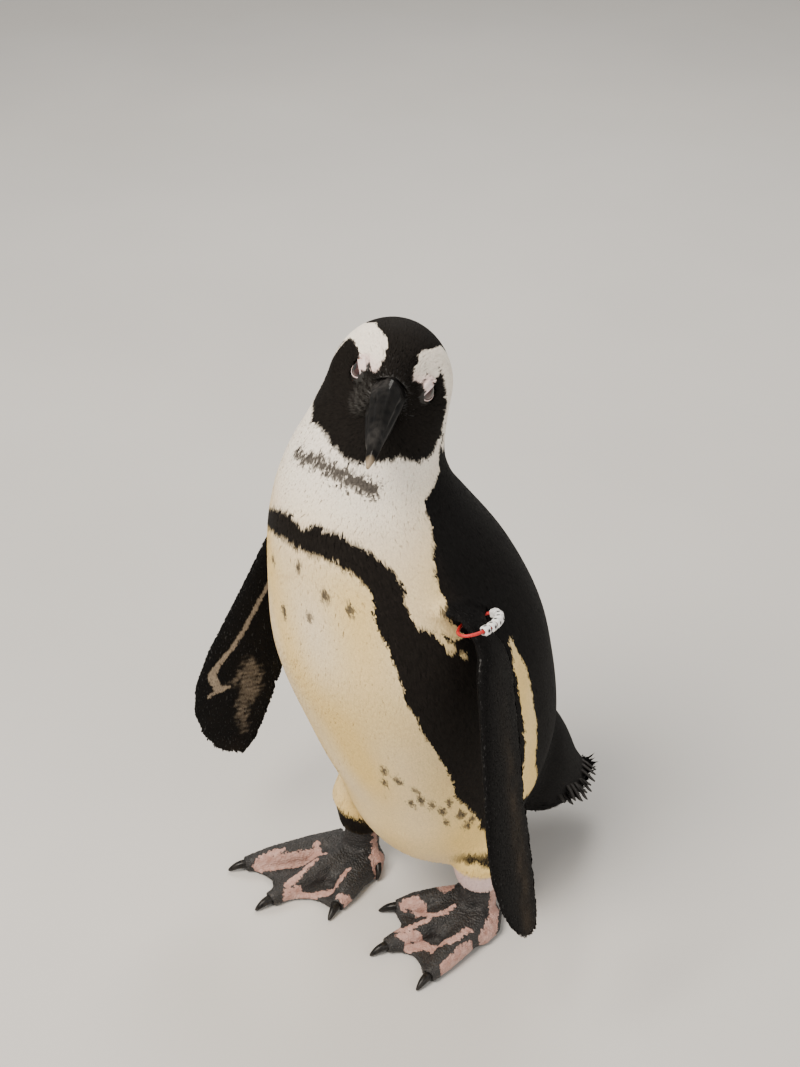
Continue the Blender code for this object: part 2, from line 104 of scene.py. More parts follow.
# Where the trunk's coat is parted: round from the breast, and by height
FRONT_ANGLE, BREAST_FOOT, BELLY_FOOT, MANTLE_FOOT = 88, 215, 80, 190
COAT_SEED, SCALE_SEED, FEATHER_SEED = 11, 23, 5
FAR = 1e3  # farther off than anything here

# Plumage colours
# CREAM, which the belly's white turns to lower down, is partly the feathers' own tone and partly painted warm
# bounce light.
WHITE, CREAM, PINK_WHITE = (0.93, 0.85, 0.74), (0.88, 0.635, 0.24), (0.80, 0.60, 0.58)
BACK_BLACK, BAND_BLACK = (0.0060, 0.0056, 0.0056), (0.0105, 0.0086, 0.0074)
FACE_BLACK = (0.0080, 0.0066, 0.0056)
# FACE_GREY streaks the feathers beside the bill's base on the right: partly grey striation and partly painted
# reflection.
SMUDGE_GREY, FLIPPER_PALE, FACE_GREY = (0.026, 0.022, 0.020), (0.27, 0.22, 0.165), (0.060, 0.058, 0.055)
# The flippers' brown band is partly the feathers' brownish tone and partly painted sheen along the outer
# face.
MOTTLE_BROWN, FLIPPER_BROWN_AND_SHEEN = (0.060, 0.048, 0.038), (0.034, 0.025, 0.017)


# ---------------------------------------------------------------- arrays and meshes


def unit(rows):
    return rows / np.maximum(np.linalg.norm(rows, axis=-1, keepdims=True), 1e-9)


def distance(points, place):
    return np.linalg.norm(points - place, axis=1)


def turns(count):
    """Angles evenly round a circle."""
    return np.linspace(0, 2 * np.pi, count, endpoint=False)


def crosses(points, tris):
    """Two sides of each triangle crossed: its normal, twice its area long."""
    a, b, c = (points[tris[:, k]] for k in range(3))
    return np.cross(b - a, c - a)


def ease(value, low, high):
    """0 below low, 1 above high, and a smooth step between."""
    t = np.clip((value - low) / (high - low), 0, 1)
    return t * t * (3 - 2 * t)


def waves(points, size, seed):
    """Smooth noise from about -1 to 1: the mean of eight sine waves of that size, each its own way."""
    rng = np.random.default_rng(seed)
    ways = unit(rng.normal(size=(8, 3))) * 2 * np.pi / size * rng.uniform(0.6, 1.6, (8, 1))
    return np.sin(points @ ways.T + rng.uniform(0, 2 * np.pi, 8)).mean(1) * 1.9


def read(items, name, width, kind=np.float32):
    values = np.empty(len(items) * width, kind)
    items.foreach_get(name, values)
    return values.reshape(-1, width)


def arrays_of(mesh):
    """The mesh's points in millimetres and its triangles."""
    mesh.calc_loop_triangles()
    points = read(mesh.vertices, "co", 3).astype(float) / MM
    return points, read(mesh.loop_triangles, "vertices", 3, np.int32)


def linked(name, data):
    made = bpy.data.objects.new(name, data)
    bpy.context.scene.collection.objects.link(made)
    return made


def put_mesh(name, points, quads=None, tris=None, smooth=True):
    """An object at the origin from points in millimetres and whole arrays of faces."""
    mesh = bpy.data.meshes.new(name)
    quads = np.zeros((0, 4), np.int32) if quads is None else np.asarray(quads, np.int32)
    tris = np.zeros((0, 3), np.int32) if tris is None else np.asarray(tris, np.int32)
    corners = np.concatenate([quads.ravel(), tris.ravel()])
    starts = np.concatenate([np.arange(len(quads)) * 4, len(quads) * 4 + np.arange(len(tris)) * 3])
    mesh.vertices.add(len(points))
    mesh.vertices.foreach_set("co", (np.asarray(points) * MM).astype(np.float32).ravel())
    mesh.loops.add(len(corners))
    mesh.loops.foreach_set("vertex_index", corners.astype(np.int32))
    mesh.polygons.add(len(starts))
    mesh.polygons.foreach_set("loop_start", starts.astype(np.int32))
    mesh.polygons.foreach_set("use_smooth", np.full(len(starts), smooth))
    mesh.update(calc_edges=True)
    mesh.validate()
    return linked(name, mesh)


def put_value(made, name, values):
    made.data.attributes.new(name, "FLOAT", "POINT").data.foreach_set("value", np.asarray(values, np.float32))


def put_tint(made, colours):
    rows = np.ones((len(colours), 4), np.float32)
    rows[:, :3] = colours
    made.data.color_attributes.new("tint", "FLOAT_COLOR", "POINT").data.foreach_set("color", rows.ravel())


def put_patches(made, spots, outline, *faces):
    """The map of a piece of many small shapes: the outline of one, a patch wide, at each one's own spot."""
    places = (spots[:, None] + outline * PATCH / 2).reshape(-1, 2)
    corners = np.concatenate([rows.ravel() for rows in faces])
    layer = made.data.uv_layers.new(name="OFBake")
    layer.data.foreach_set("uv", places[corners].astype(np.float32).ravel())


def own(made, slot, material, *nodes):
    """The piece rides on the body, wears its material and stands for its solids."""
    made.data.materials.append(material)
    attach(made, "root")
    if nodes:
        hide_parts(*nodes)
    return made


def grid_faces(rows, columns, closed=True):
    """Quads of a grid of rows by columns, joined round its columns where it is closed."""
    i, j = np.meshgrid(np.arange(rows - 1), np.arange(columns if closed else columns - 1), indexing="ij")
    k = (j + 1) % columns
    faces = np.stack([i * columns + j, i * columns + k, (i + 1) * columns + k, (i + 1) * columns + j], -1)
    return faces.reshape(-1, 4)


def repeated(faces, count, each):
    """The faces of one small shape, for that many shapes of so many points each."""
    faces = np.asarray(faces)
    return ((np.arange(count) * each)[:, None, None] + faces).reshape(-1, faces.shape[1])


def tube_mesh(name, rings):
    """A closed surface through rings of points (rows, columns, 3), with a point in the middle of each end."""
    rows, columns, _ = rings.shape
    points = np.vstack([rings.reshape(-1, 3), rings[0].mean(0), rings[-1].mean(0)])
    j = np.arange(columns)
    k = (j + 1) % columns
    first, last = rows * columns, rows * columns + 1
    low = np.stack([k, j, np.full(columns, first)], 1)
    high = np.stack([j, k, np.full(columns, last)], 1)
    high[:, :2] += (rows - 1) * columns
    return put_mesh(name, points, grid_faces(rows, columns), np.vstack([low, high]))


def smooth_rows(rows, count):
    """Rows of numbers eased to that many by a Catmull-Rom curve through them."""
    rows = np.asarray(rows, float)
    ends = np.vstack([2 * rows[0] - rows[1], rows, 2 * rows[-1] - rows[-2]])
    at = np.linspace(0, len(rows) - 1, count)
    i = np.minimum(at.astype(int), len(rows) - 2)
    t = (at - i)[:, None]
    a, b, c, d = ends[i], ends[i + 1], ends[i + 2], ends[i + 3]
    return 0.5 * (2 * b + (c - a) * t + (2 * a - 5 * b + 4 * c - d) * t**2 + (3 * b - a - 3 * c + d) * t**3)


def carried(path, radii, columns):
    """Rings of a round profile carried along a path."""
    way = unit(np.gradient(path, axis=0))
    side = unit(np.cross(way, (0.0, 0.0, 1.0)))
    over = np.cross(side, way)
    turn = turns(columns)[None, :, None]
    flat = np.cos(turn) * side[:, None, :] + np.sin(turn) * over[:, None, :]
    return path[:, None, :] + np.asarray(radii)[:, None, None] * flat


# ---------------------------------------------------------------- places worked out from the frame


def node_shape(node):
    """The solid's points in millimetres and its triangles, with equal points made one."""
    points, tris = arrays_of(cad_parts[node].data)
    _, first, index = np.unique(np.round(points, 2), axis=0, return_index=True, return_inverse=True)
    tris = index.reshape(-1)[tris]
    whole = (tris[:, 0] != tris[:, 1]) & (tris[:, 1] != tris[:, 2]) & (tris[:, 0] != tris[:, 2])
    return points[first], tris[whole]


def middle_of(node):
    low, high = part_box(node)
    return np.array((low + high) / 2) / MM


EYE_LEFT, EYE_RIGHT = middle_of("eye_left"), middle_of("eye_right")
FORWARD = np.array(
    (np.sin(HEAD_TURN) * np.cos(HEAD_PITCH), -np.cos(HEAD_TURN) * np.cos(HEAD_PITCH), np.sin(HEAD_PITCH))
)
ACROSS = unit(EYE_LEFT - EYE_RIGHT)
FORWARD = unit(FORWARD - ACROSS * (FORWARD @ ACROSS))
UPWARD = np.cross(FORWARD, ACROSS)
HEAD_AXES = np.array([FORWARD, ACROSS, UPWARD])
EYE_MIDDLE = (EYE_LEFT + EYE_RIGHT) / 2 - EYE_FORWARD * FORWARD
TAIL_ALONG = unit(TAIL_TIP - TAIL_ROOT)


def to_head(points):
    """Places as forward, to the bird's left and up, from midway between the eyes."""
    return (points - EYE_MIDDLE) @ HEAD_AXES.T


def from_head(places):
    return np.asarray(places) @ HEAD_AXES + EYE_MIDDLE


def spine_at(z):
    """The place of the body's middle line at each height."""
    return np.stack([np.interp(z, SPINE[:, 2], SPINE[:, k]) for k in range(3)], 1)


def around(points):
    """Angle round the body's middle line, 0 at the breast and growing to the left, and distance from it."""
    x, y = (points[:, k] - np.interp(points[:, 2], SPINE[:, 2], SPINE[:, k]) for k in (0, 1))
    return np.degrees(np.arctan2(x, -y)), np.hypot(x, y)


def flipper_axes(side):
    shoulder, tip, back = (np.array(v) for v in FLIPPERS[side])
    along = unit(tip - shoulder)
    back = unit(back - along * (back @ along))
    out = np.cross(along, back)
    return shoulder, np.linalg.norm(tip - shoulder), along, back, out * np.sign(out[0]) * SIDES[side]


def on_flipper(points, side):
    """Share of the way down the flipper, distance back from its middle line and out from its plane."""
    shoulder, span, along, back, out = flipper_axes(side)
    away = points - shoulder
    return away @ along / span, away @ back, away @ out


# ---------------------------------------------------------------- skin


def normals_of(points, tris):
    """Area-weighted mean of the normals of the triangles round each point."""
    face, ends = crosses(points, tris), tris.ravel()
    sums = [np.bincount(ends, np.repeat(face[:, k], 3), len(points)) for k in range(3)]
    return unit(np.stack(sums, 1))


def edges_of(tris):
    ends = np.sort(np.concatenate([tris[:, [0, 1]], tris[:, [1, 2]], tris[:, [2, 0]]]), axis=1)
    return np.unique(ends, axis=0)


def relaxed(values, edges, rounds, share):
    """Each row moves its share of the way to the mean of its neighbours' rows, that many times."""
    a, b = edges.T
    count = np.bincount(a, minlength=len(values)) + np.bincount(b, minlength=len(values))
    values = values.copy()
    for _ in range(rounds):
        for k in range(values.shape[1]):
            column = values[:, k]
            sums = np.bincount(a, column[b], len(values)) + np.bincount(b, column[a], len(values))
            values[:, k] = column + share * (sums / count - column)
    return values


def evaluated_arrays(made):
    """Points and triangles of an object with its modifiers, which is then removed."""
    graph = bpy.context.evaluated_depsgraph_get()
    mesh = bpy.data.meshes.new_from_object(made.evaluated_get(graph))
    mesh.validate()
    points, tris = arrays_of(mesh)
    bpy.data.meshes.remove(mesh)
    bpy.data.objects.remove(made)
    return points, tris


def fused_flesh():
    """All the flesh solids grown until their cuts close, and wrapped in one surface of small even faces."""
    points, tris, start = [], [], 0
    for node in FLESH:
        here, faces = node_shape(node)
        points.append(here + normals_of(here, faces) * GROW)
        tris.append(faces + start)
        start += len(here)
    made = put_mesh("flesh", np.vstack(points), tris=np.vstack(tris))
    wrap = made.modifiers.new("wrap", "REMESH")
    wrap.mode = "VOXEL"
    wrap.voxel_size = VOXEL * MM
    return evaluated_arrays(made)


def region_shares(points, edges):
    """How far each point belongs to each flesh solid: 1 for the nearest, then spread over its neighbours."""
    places, owner = [], []
    for k, node in enumerate(FLESH):
        here, faces = node_shape(node)
        both = np.vstack([here, here[faces].mean(1)])
        places.append(both)
        owner.append(np.full(len(both), k))
    places, owner = np.vstack(places).astype(np.float32), np.concatenate(owner)
    squares = (places**2).sum(1)
    nearest = np.empty(len(points), int)
    chunk = 3000
    for i in range(0, len(points), chunk):
        some = points[i : i + chunk].astype(np.float32)
        nearest[i : i + chunk] = owner[np.argmin(squares - 2 * some @ places.T, axis=1)]
    shares = np.eye(len(FLESH))[nearest]
    return relaxed(shares, edges, SHARE_ROUNDS, 0.5)


def share_of(shares, *names):
    return sum(shares[:, FLESH.index(name)] for name in names)


def by_region(shares, column):
    return shares @ np.array([COAT[name][column] for name in FLESH])


def shaped_skin():
    """The fused flesh with its flats rounded off, then drawn in by the depth of the coat."""
    points, tris = fused_flesh()
    edges = edges_of(tris)
    points = relaxed(points, edges, ALL_ROUNDS, 0.5)
    shares = region_shares(points, edges)
    body = np.clip(share_of(shares, "trunk", "neck", "head", "tail"), 0, 1)
    head = np.clip(share_of(shares, "head"), 0, 1)
    limb = np.clip(share_of(shares, "leg_left", "leg_right"), 0, 1)
    wing = np.clip(share_of(shares, "flipper_left", "flipper_right"), 0, 1)
    join = ease(np.min([distance(points, FLIPPERS[side][0]) for side in SIDES], axis=0), 40, 24)
    eye_gap = np.min([distance(points, eye) for eye in (EYE_LEFT, EYE_RIGHT)], axis=0)
    body = body * ease(eye_gap, 9, 15)
    points = relaxed(points, edges, BODY_ROUNDS, 0.5 * np.clip(body - 0.55 * head + join, 0, 1))
    points = relaxed(points, edges, LIMB_ROUNDS, 0.5 * np.clip(body + limb + wing, 0, 1))
    points = relaxed(points, edges, FLIPPER_ROUNDS, 0.5 * wing)
    depth = by_region(shares, DEPTH)
    for side in SIDES:
        on = share_of(shares, "flipper_" + side) > MOSTLY
        depth = np.where(on, np.minimum(depth, 0.45 * flipper_half(points, on, side)), depth)
    depth = relaxed(depth[:, None], edges, DEPTH_ROUNDS, 0.5)[:, 0] * ease(eye_gap, 8, 12)
    points = points - normals_of(points, tris) * depth[:, None]
    for side in SIDES:
        for _ in range(3):
            points = flipper_restored(points, share_of(shares, "flipper_" + side), side)
    return tail_drawn_in(eyes_set(points), share_of(shares, "tail")), tris, shares


def eyes_set(points):
    """Presses the skin near each eye down to the eyeball, so that the lids lie open on it.

    At an angle b from the way the eye looks, the skin may stand 9 + 0.0006 (b - 62)^2.6 from its middle.
    """
    for side in SIDES:
        place, look, _, _ = eye_axes(side)
        away = points - place
        radius = np.maximum(np.linalg.norm(away, axis=1), 1.0)
        bend = np.degrees(np.arccos(np.clip(away @ look / radius, -1, 1)))
        most = EYE_RADIUS + 1.0 + 0.0006 * np.maximum(bend - 62, 0) ** 2.6
        pressed = np.minimum(most / radius, 1) - 1
        points = points + away * (pressed * ease(radius, 21, 15))[:, None]
    return points


def flipper_half(points, mine, side):
    """Half the flipper's thickness at each point: half the spread of the points in its cell of a grid."""
    t, back, out = on_flipper(points, side)
    rows, columns = 64, 40
    row = np.clip((t * 60).astype(int), 0, rows - 1)
    cell = row * columns + np.clip(((back + 60) / 3).astype(int), 0, columns - 1)
    low, high = np.full(rows * columns, FAR), np.full(rows * columns, -FAR)
    np.minimum.at(low, cell[mine], out[mine])
    np.maximum.at(high, cell[mine], out[mine])
    return np.maximum(high - low, 0)[cell] / 2


def flipper_edges(t, back):
    """Shares down the flipper, and the leading and trailing edge at each, as distance back, smoothed."""
    per_flipper, count = 90, 96
    step = np.clip((t * per_flipper).astype(int), 0, count - 1)
    lead, trail = np.full(count, FAR), np.full(count, -FAR)
    np.minimum.at(lead, step, back)
    np.maximum.at(trail, step, back)
    full = np.flatnonzero(trail > -FAR)
    places = (np.arange(count) + 0.5) / per_flipper
    rows = [np.interp(places, places[full], edge[full]) for edge in (lead, trail)]
    smoothed = [np.convolve(np.pad(row, 2, "edge"), (0.1, 0.2, 0.4, 0.2, 0.1), "valid") for row in rows]
    return places, *smoothed


def flipper_restored(points, on, side):
    """Stretches a flipper's skin back out to its solid's edges and tip, which wrapping had worn away."""
    solid, faces = node_shape("flipper_" + side)
    a, b = (solid[ends] for ends in edges_of(faces).T)
    share = np.linspace(0, 1, 30)[:, None, None]
    t, back, _ = on_flipper((a * (1 - share) + b * share).reshape(-1, 3), side)
    edge = flipper_edges(t, back)
    here, across, _ = on_flipper(points, side)
    mine = (on > 0.6) & (here > 0.1)
    longest = here[mine].max()
    down = here + (t.max() - 0.003 - longest) * ease(here, 0.8, longest)
    skin = flipper_edges(down[mine], across[mine])
    lead, trail = (np.interp(down, skin[0], skin[k]) for k in (1, 2))
    want_lead, want_trail = (np.interp(down, edge[0], edge[k]) for k in (1, 2))
    place = np.clip((across - lead) / np.maximum(trail - lead, 1.0), 0, 1)
    inset = np.minimum(0.9, 0.2 * (want_trail - want_lead))
    want_lead = want_lead + 0.25 + (2.4 * ease(down, 0.70, 0.92) if side == "left" else 0)
    new = want_lead + place * (want_trail - want_lead - inset)
    share = ease(here, 0.14, 0.26) * ease(on, 0.5, 0.8)
    _, span, along, way, _ = flipper_axes(side)
    return points + ((down - here) * span * share)[:, None] * along + ((new - across) * share)[:, None] * way


def tail_drawn_in(points, on):
    """Draws the tail's skin in from its edges and end, so that the stiff feathers stand out past it."""
    away = (points - TAIL_ROOT) @ TAIL_ALONG
    share = ease(on, 0.3, 0.7)
    points = points - (9.5 * ease(away, 55, 128) * share)[:, None] * TAIL_ALONG
    points[:, 0] -= (points[:, 0] - TAIL_ROOT[0]) * 0.20 * ease(away, 35, 100) * share
    return points


def thinned(points, tris, shares):
    """The trunk, neck, tail and flippers get larger faces, so that the skin stays a light mesh."""
    made = put_mesh("thin", points, tris=tris)
    group = made.vertex_groups.new(name="plain")
    plain = share_of(shares, "trunk", "neck", "tail", "flipper_left", "flipper_right")
    for level in (0.3, 0.6, 0.9):
        group.add(np.flatnonzero(plain > level).tolist(), level, "REPLACE")
    less = made.modifiers.new("less", "DECIMATE")
    less.ratio = min(1.0, SKIN_FACES / len(tris))
    less.vertex_group = "plain"
    return evaluated_arrays(made)


def unwrapped(made):
    """Unwraps the skin by the way its faces point, and gives each triangle corner's place on that map."""
    bpy.context.view_layer.objects.active = made
    made.select_set(True)
    bpy.ops.object.mode_set(mode="EDIT")
    bpy.ops.mesh.select_all(action="SELECT")
    bpy.ops.uv.smart_project(angle_limit=np.radians(66), island_margin=0.002, area_weight=0.0)
    bpy.ops.object.mode_set(mode="OBJECT")
    made.select_set(False)
    layer = made.data.uv_layers[0]
    layer.name = "OFBake"
    return read(layer.data, "uv", 2).reshape(-1, 3, 2).astype(float)


# ---------------------------------------------------------------- markings

# Cheek and throat, round the head from its right to its left: angle, then how high the black begins
THROAT = table(
    (-95, -36), (-80, -39.6), (-58, -36), (-21, -41), (-5, -40), (19, -36), (34, -33), (58, -36.5),
    (76, -36), (89, -27),
)
# How far back the black cheek reaches, by height on the head
CHEEK = table((-42, 86), (-27, 91), (-10, 99), (5, 104), (16, 107))
# The white band over the eye and down behind the cheek: forward, out, up, half width
BROW = table(
    (17.5, 11.8, 8.0, 2.2), (12.5, 12.6, 11.0, 3.8), (7.0, 14.5, 14.5, 6.6), (0.0, 17.5, 18.2, 9.0),
    (-8.0, 21.5, 20.5, 6.9), (-15.0, 26.0, 18.0, 8.6), (-19.0, 32.0, 7.0, 7.4), (-19.0, 35.0, -6.0, 5.4),
    (-15.0, 36.0, -20.0, 4.8), (-10.0, 38.0, -34.0, 5.0),
)
# The white beside the eye, from the brow forward to the lids
EYE_WHITE = table(
    (-3.0, 21.0, 12.0, 5.0), (1.0, 21.6, 9.4, 5.2), (6.0, 20.6, 7.8, 4.4), (10.0, 19.2, 7.0, 3.0),
    (13.0, 17.8, 6.4, 1.6),
)
NAPE_ANGLE = 118.0
# Where the black back begins, round from the breast, by height
BACK_EDGE = table(
    (50, 160), (65, 147), (85, 132), (105, 120), (138, 110.5), (176, 111), (211, 112), (245, 110),
    (252, 104), (262, 86), (277, 82.5), (300, 84.3), (314, 89.4), (329.5, 98.8), (344, 103), (353, 126),
    (420, 128),
)
# The black horseshoe's leg down the flank: height, its inner and its outer edge
FLANK = table(
    (90, 86, 86.5), (97, 77, 94), (114, 74, 99), (133, 64.5, 101), (150, 63, 101.3), (190, 57, 102.6),
    (229, 52.3, 105), (244, 52.3, 107), (250, 52, 112), (258, 51, 98), (264, 50.5, 80), (270, 50, 75),
    (276, 49, 66),
)
FLANK_FOOT, FLANK_TOP = 88, 276
# The horseshoe's bow over the breast: distance round, height, half width
BOW_RADIUS, ARMPIT_RADIUS, THROAT_RADIUS = 66.0, 78, 45
BOW = table(
    (0, 326, 7.0), (14, 328.5, 9.0), (29, 325, 8.4), (46, 317, 7.6), (57, 308, 8.0), (65, 297, 8.4),
    (65, 284, 10.0), (67, 271, 10.5),
)
CHEST_TURN = ((292.0, 325.0), (0.0, 14.0))  # the breast follows the head: heights and degrees to the left
SMUDGE = table((-12, 366, 2.6), (12, 369, 3.6), (32, 365, 4.0), (48, 361, 4.4), (60, 357, 3.2))
ARMPIT = table((102, 268, 2.0), (106, 259, 1.8), (113, 251, 1.4))
# Small dark spots: angle round, height, radius
SPOTS = (
    (-11, 299, 2.0), (11.6, 308, 2.2), (25.6, 294.5, 2.6), (-2, 268, 2.6), (15.6, 276.6, 2.2),
    (37.3, 288.5, 2.4), (33, 160, 2.4), (38, 152, 2.8), (31, 146, 1.8), (47, 133, 2.6), (52, 129, 2.4),
    (42, 128, 1.8), (57, 122, 2.2), (66, 117, 2.6), (72, 111, 2.2), (45, 143, 1.6), (61, 131, 2.0),
    (-35, 262, 2.4), (-44, 236, 2.0), (-39, 150, 2.4), (106, 261, 5.5), (112, 253, 4.0), (-52, 128, 2.6),
    (-61, 120, 2.2), (69, 104, 2.2), (58, 110, 1.8),
)


def stroke(places, path):
    """How far inside a rounded stroke each place lies: half width less distance, over the path's legs."""
    best = np.full(len(places), -FAR)
    for a, b in zip(path, path[1:]):
        way = b[:-1] - a[:-1]
        t = np.clip((places - a[:-1]) @ way / (way @ way), 0, 1)
        away = np.linalg.norm(places - a[:-1] - t[:, None] * way, axis=1)
        best = np.maximum(best, a[-1] + t * (b[-1] - a[-1]) - away)
    return best


def stroke_at(columns, path):
    return stroke(np.stack(columns, 1), path)


def head_dark(points, back):
    """Depth inside the black of the face, crown and nape, less the white band over the eyes."""
    f, s, u = to_head(points).T
    angle, radius = np.degrees(np.arctan2(s, f)), np.hypot(f, s)
    arc, side, right = np.radians(radius), np.abs(s), s < 0
    reach = np.interp(u, *CHEEK.T) + np.where(right, 12 * ease(u, 18, 8) + 12 * ease(u, 2, -20), 3.5)
    face = np.minimum(u - np.interp(angle, *THROAT.T), (reach - np.abs(angle)) * arc)
    upper = ease(points[:, 2], 365, 392)
    nape = (1 - upper) * back + upper * (np.abs(angle) - NAPE_ANGLE) * arc
    black = np.maximum(np.maximum(face, nape), u - 14)
    late = f + np.where(right, 9.0 * ease(u, 16, 6), 0)
    white = np.maximum(stroke_at([late, side, u], BROW), stroke_at([f, side, u], EYE_WHITE))
    notch = 2.0 - np.hypot(f - 11.5, (side - 17.2) / 1.2)
    white = np.where(u < 9, np.minimum(white, -notch), white)
    white = white + np.where(right, 4.0 * ease(f, -3, -10) * ease(u, -2, 6) * ease(side, 21, 27), 0)
    return np.minimum(black, -white)


def body_dark(points):
    """Depth inside the black of the body, in millimetres: back, horseshoe and head together."""
    angle, radius = around(points)
    z = points[:, 2]
    side, arc = np.abs(angle), np.radians(radius)
    back = (side - np.interp(z, *BACK_EDGE.T)) * arc
    inner, outer = (np.interp(z, FLANK[:, 0], FLANK[:, k]) for k in (1, 2))
    flank = np.minimum(side - inner, outer - side) * arc
    flank = np.minimum(flank, np.minimum(FLANK_TOP - z, z - FLANK_FOOT))
    turned = np.abs(angle - np.interp(z, *CHEST_TURN))
    bow = stroke_at([np.radians(turned) * BOW_RADIUS, z], BOW)
    dark = np.maximum(np.maximum(head_dark(points, back), flank), bow)
    armpit = stroke_at([np.radians(side) * ARMPIT_RADIUS, z], ARMPIT)
    return np.minimum(dark, -armpit - 2.4 * waves(points, 9, 21))


def mottled(points, jitter):
    """Share of brown-grey in the soft spots of the belly and flanks, patchy from vane to vane."""
    angle, radius = around(points)
    best = np.full(len(points), -20.0)
    for place, height, size in SPOTS:
        gap = np.hypot(np.radians(angle - place) * radius, (points[:, 2] - height) * 0.6)
        best = np.maximum(best, size - gap)
    return 0.92 * ease(best + 1.3 * waves(points, 4, 71) + 0.9 * jitter, -0.9, 0.9)


def smudge(points, jitter):
    """Share of dark vanes in the broken stripe across the throat."""
    angle, _ = around(points)
    path = SMUDGE * (np.radians(THROAT_RADIUS), 1, 1)
    inside = stroke_at([np.radians(angle) * THROAT_RADIUS, points[:, 2]], path)
    return ease(inside + 2.6 * waves(points, 4, 5) + 1.6 * waves(points, 1.7, 6) + 2.0 * jitter, -0.8, 0.5)


# Pale marks on the underside of a flipper: share down it, distance back, half width
FLIPPER_LINE = table(
    (0.30, -4.0, 0.9), (0.35, -4.8, 1.3), (0.45, -7.5, 1.6), (0.55, -10.8, 1.7), (0.61, -14.4, 1.7),
    (0.67, -19, 2.2), (0.70, -20.5, 2.8), (0.73, -17.5, 3.0), (0.755, -12, 2.6), (0.745, -6, 1.6),
    (0.755, -12, 2.4), (0.79, -17, 1.0),
)
FLIPPER_BLOT = table(
    (0.735, -5, 2.0), (0.70, 0, 3.5), (0.64, 2, 4.0), (0.68, 5, 8.0), (0.75, 10.5, 8.5), (0.82, 9.5, 5.0),
    (0.88, 12.5, 3.5), (0.92, 17, 2.0),
)


def flipper_pale(points, side):
    """Share of pale on the underside: a line with a ragged rear edge and, nearer the tip, a mottle."""
    t, back, out = on_flipper(points, side)
    span = flipper_axes(side)[1]
    scale = np.array((span, 1, 1))
    down = t * span
    streaks = waves(np.stack([down, back * 0.35, 0 * t], 1), 2.2, 10)
    line = stroke_at([down, back], FLIPPER_LINE * scale) + 0.5 * waves(points, 5, 8) + 0.5 * streaks
    blot = stroke_at([down, back], FLIPPER_BLOT * scale) + 2.6 * waves(points, 8, 9) + 1.2 * streaks
    pale = np.maximum(1.25 * ease(line, -0.3, 0.6), 0.55 * ease(blot, -1.5, 4.0) * (0.7 + 0.4 * streaks))
    return np.clip(pale, 0, 1.25) * ease(-out, -0.5, 1.0)


def flipper_sheen(points, side):
    """Share of brown along the outer face, growing towards the tip: partly the feathers' brownish tone and
    partly painted sheen.
    """
    t, back, out = on_flipper(points, side)
    band = np.exp(-(((back - 4 - 8 * t) / 9) ** 2))
    wear_and_sheen = np.clip(band * ease(t, 0.15, 0.75) * (0.75 + 0.4 * waves(points, 14, 61)), 0, 1)
    return wear_and_sheen * ease(out, -1.0, 1.0)


def blend(base, other, share):
    """Base moved towards the other colour, each one colour or one to a row, by each row's share."""
    base = np.asarray(base)
    return base + (np.asarray(other) - base) * np.clip(share, 0, 1)[:, None]


def leg_colour(points, colour, shares, jitter):
    """The feathered shanks: bands of black, cream and pink on the left leg, and black on the right."""
    z = points[:, 2]
    left = share_of(shares, "leg_left") * ease(74 - z + jitter, 0, 3)
    patchy = 2.6 * waves(points, 6, 33)
    band = ease(z + jitter + patchy, 62, 64) * ease(waves(points, 9, 34), -0.75, -0.35)
    colour = blend(colour, CREAM, left)
    colour = blend(colour, BAND_BLACK, left * band)
    colour = blend(colour, PINK_WHITE, left * ease(53 - z - jitter, 0, 2))
    right = share_of(shares, "leg_right") * ease(56 - z + 3 * jitter, 0, 3)
    return blend(colour, BAND_BLACK, right)


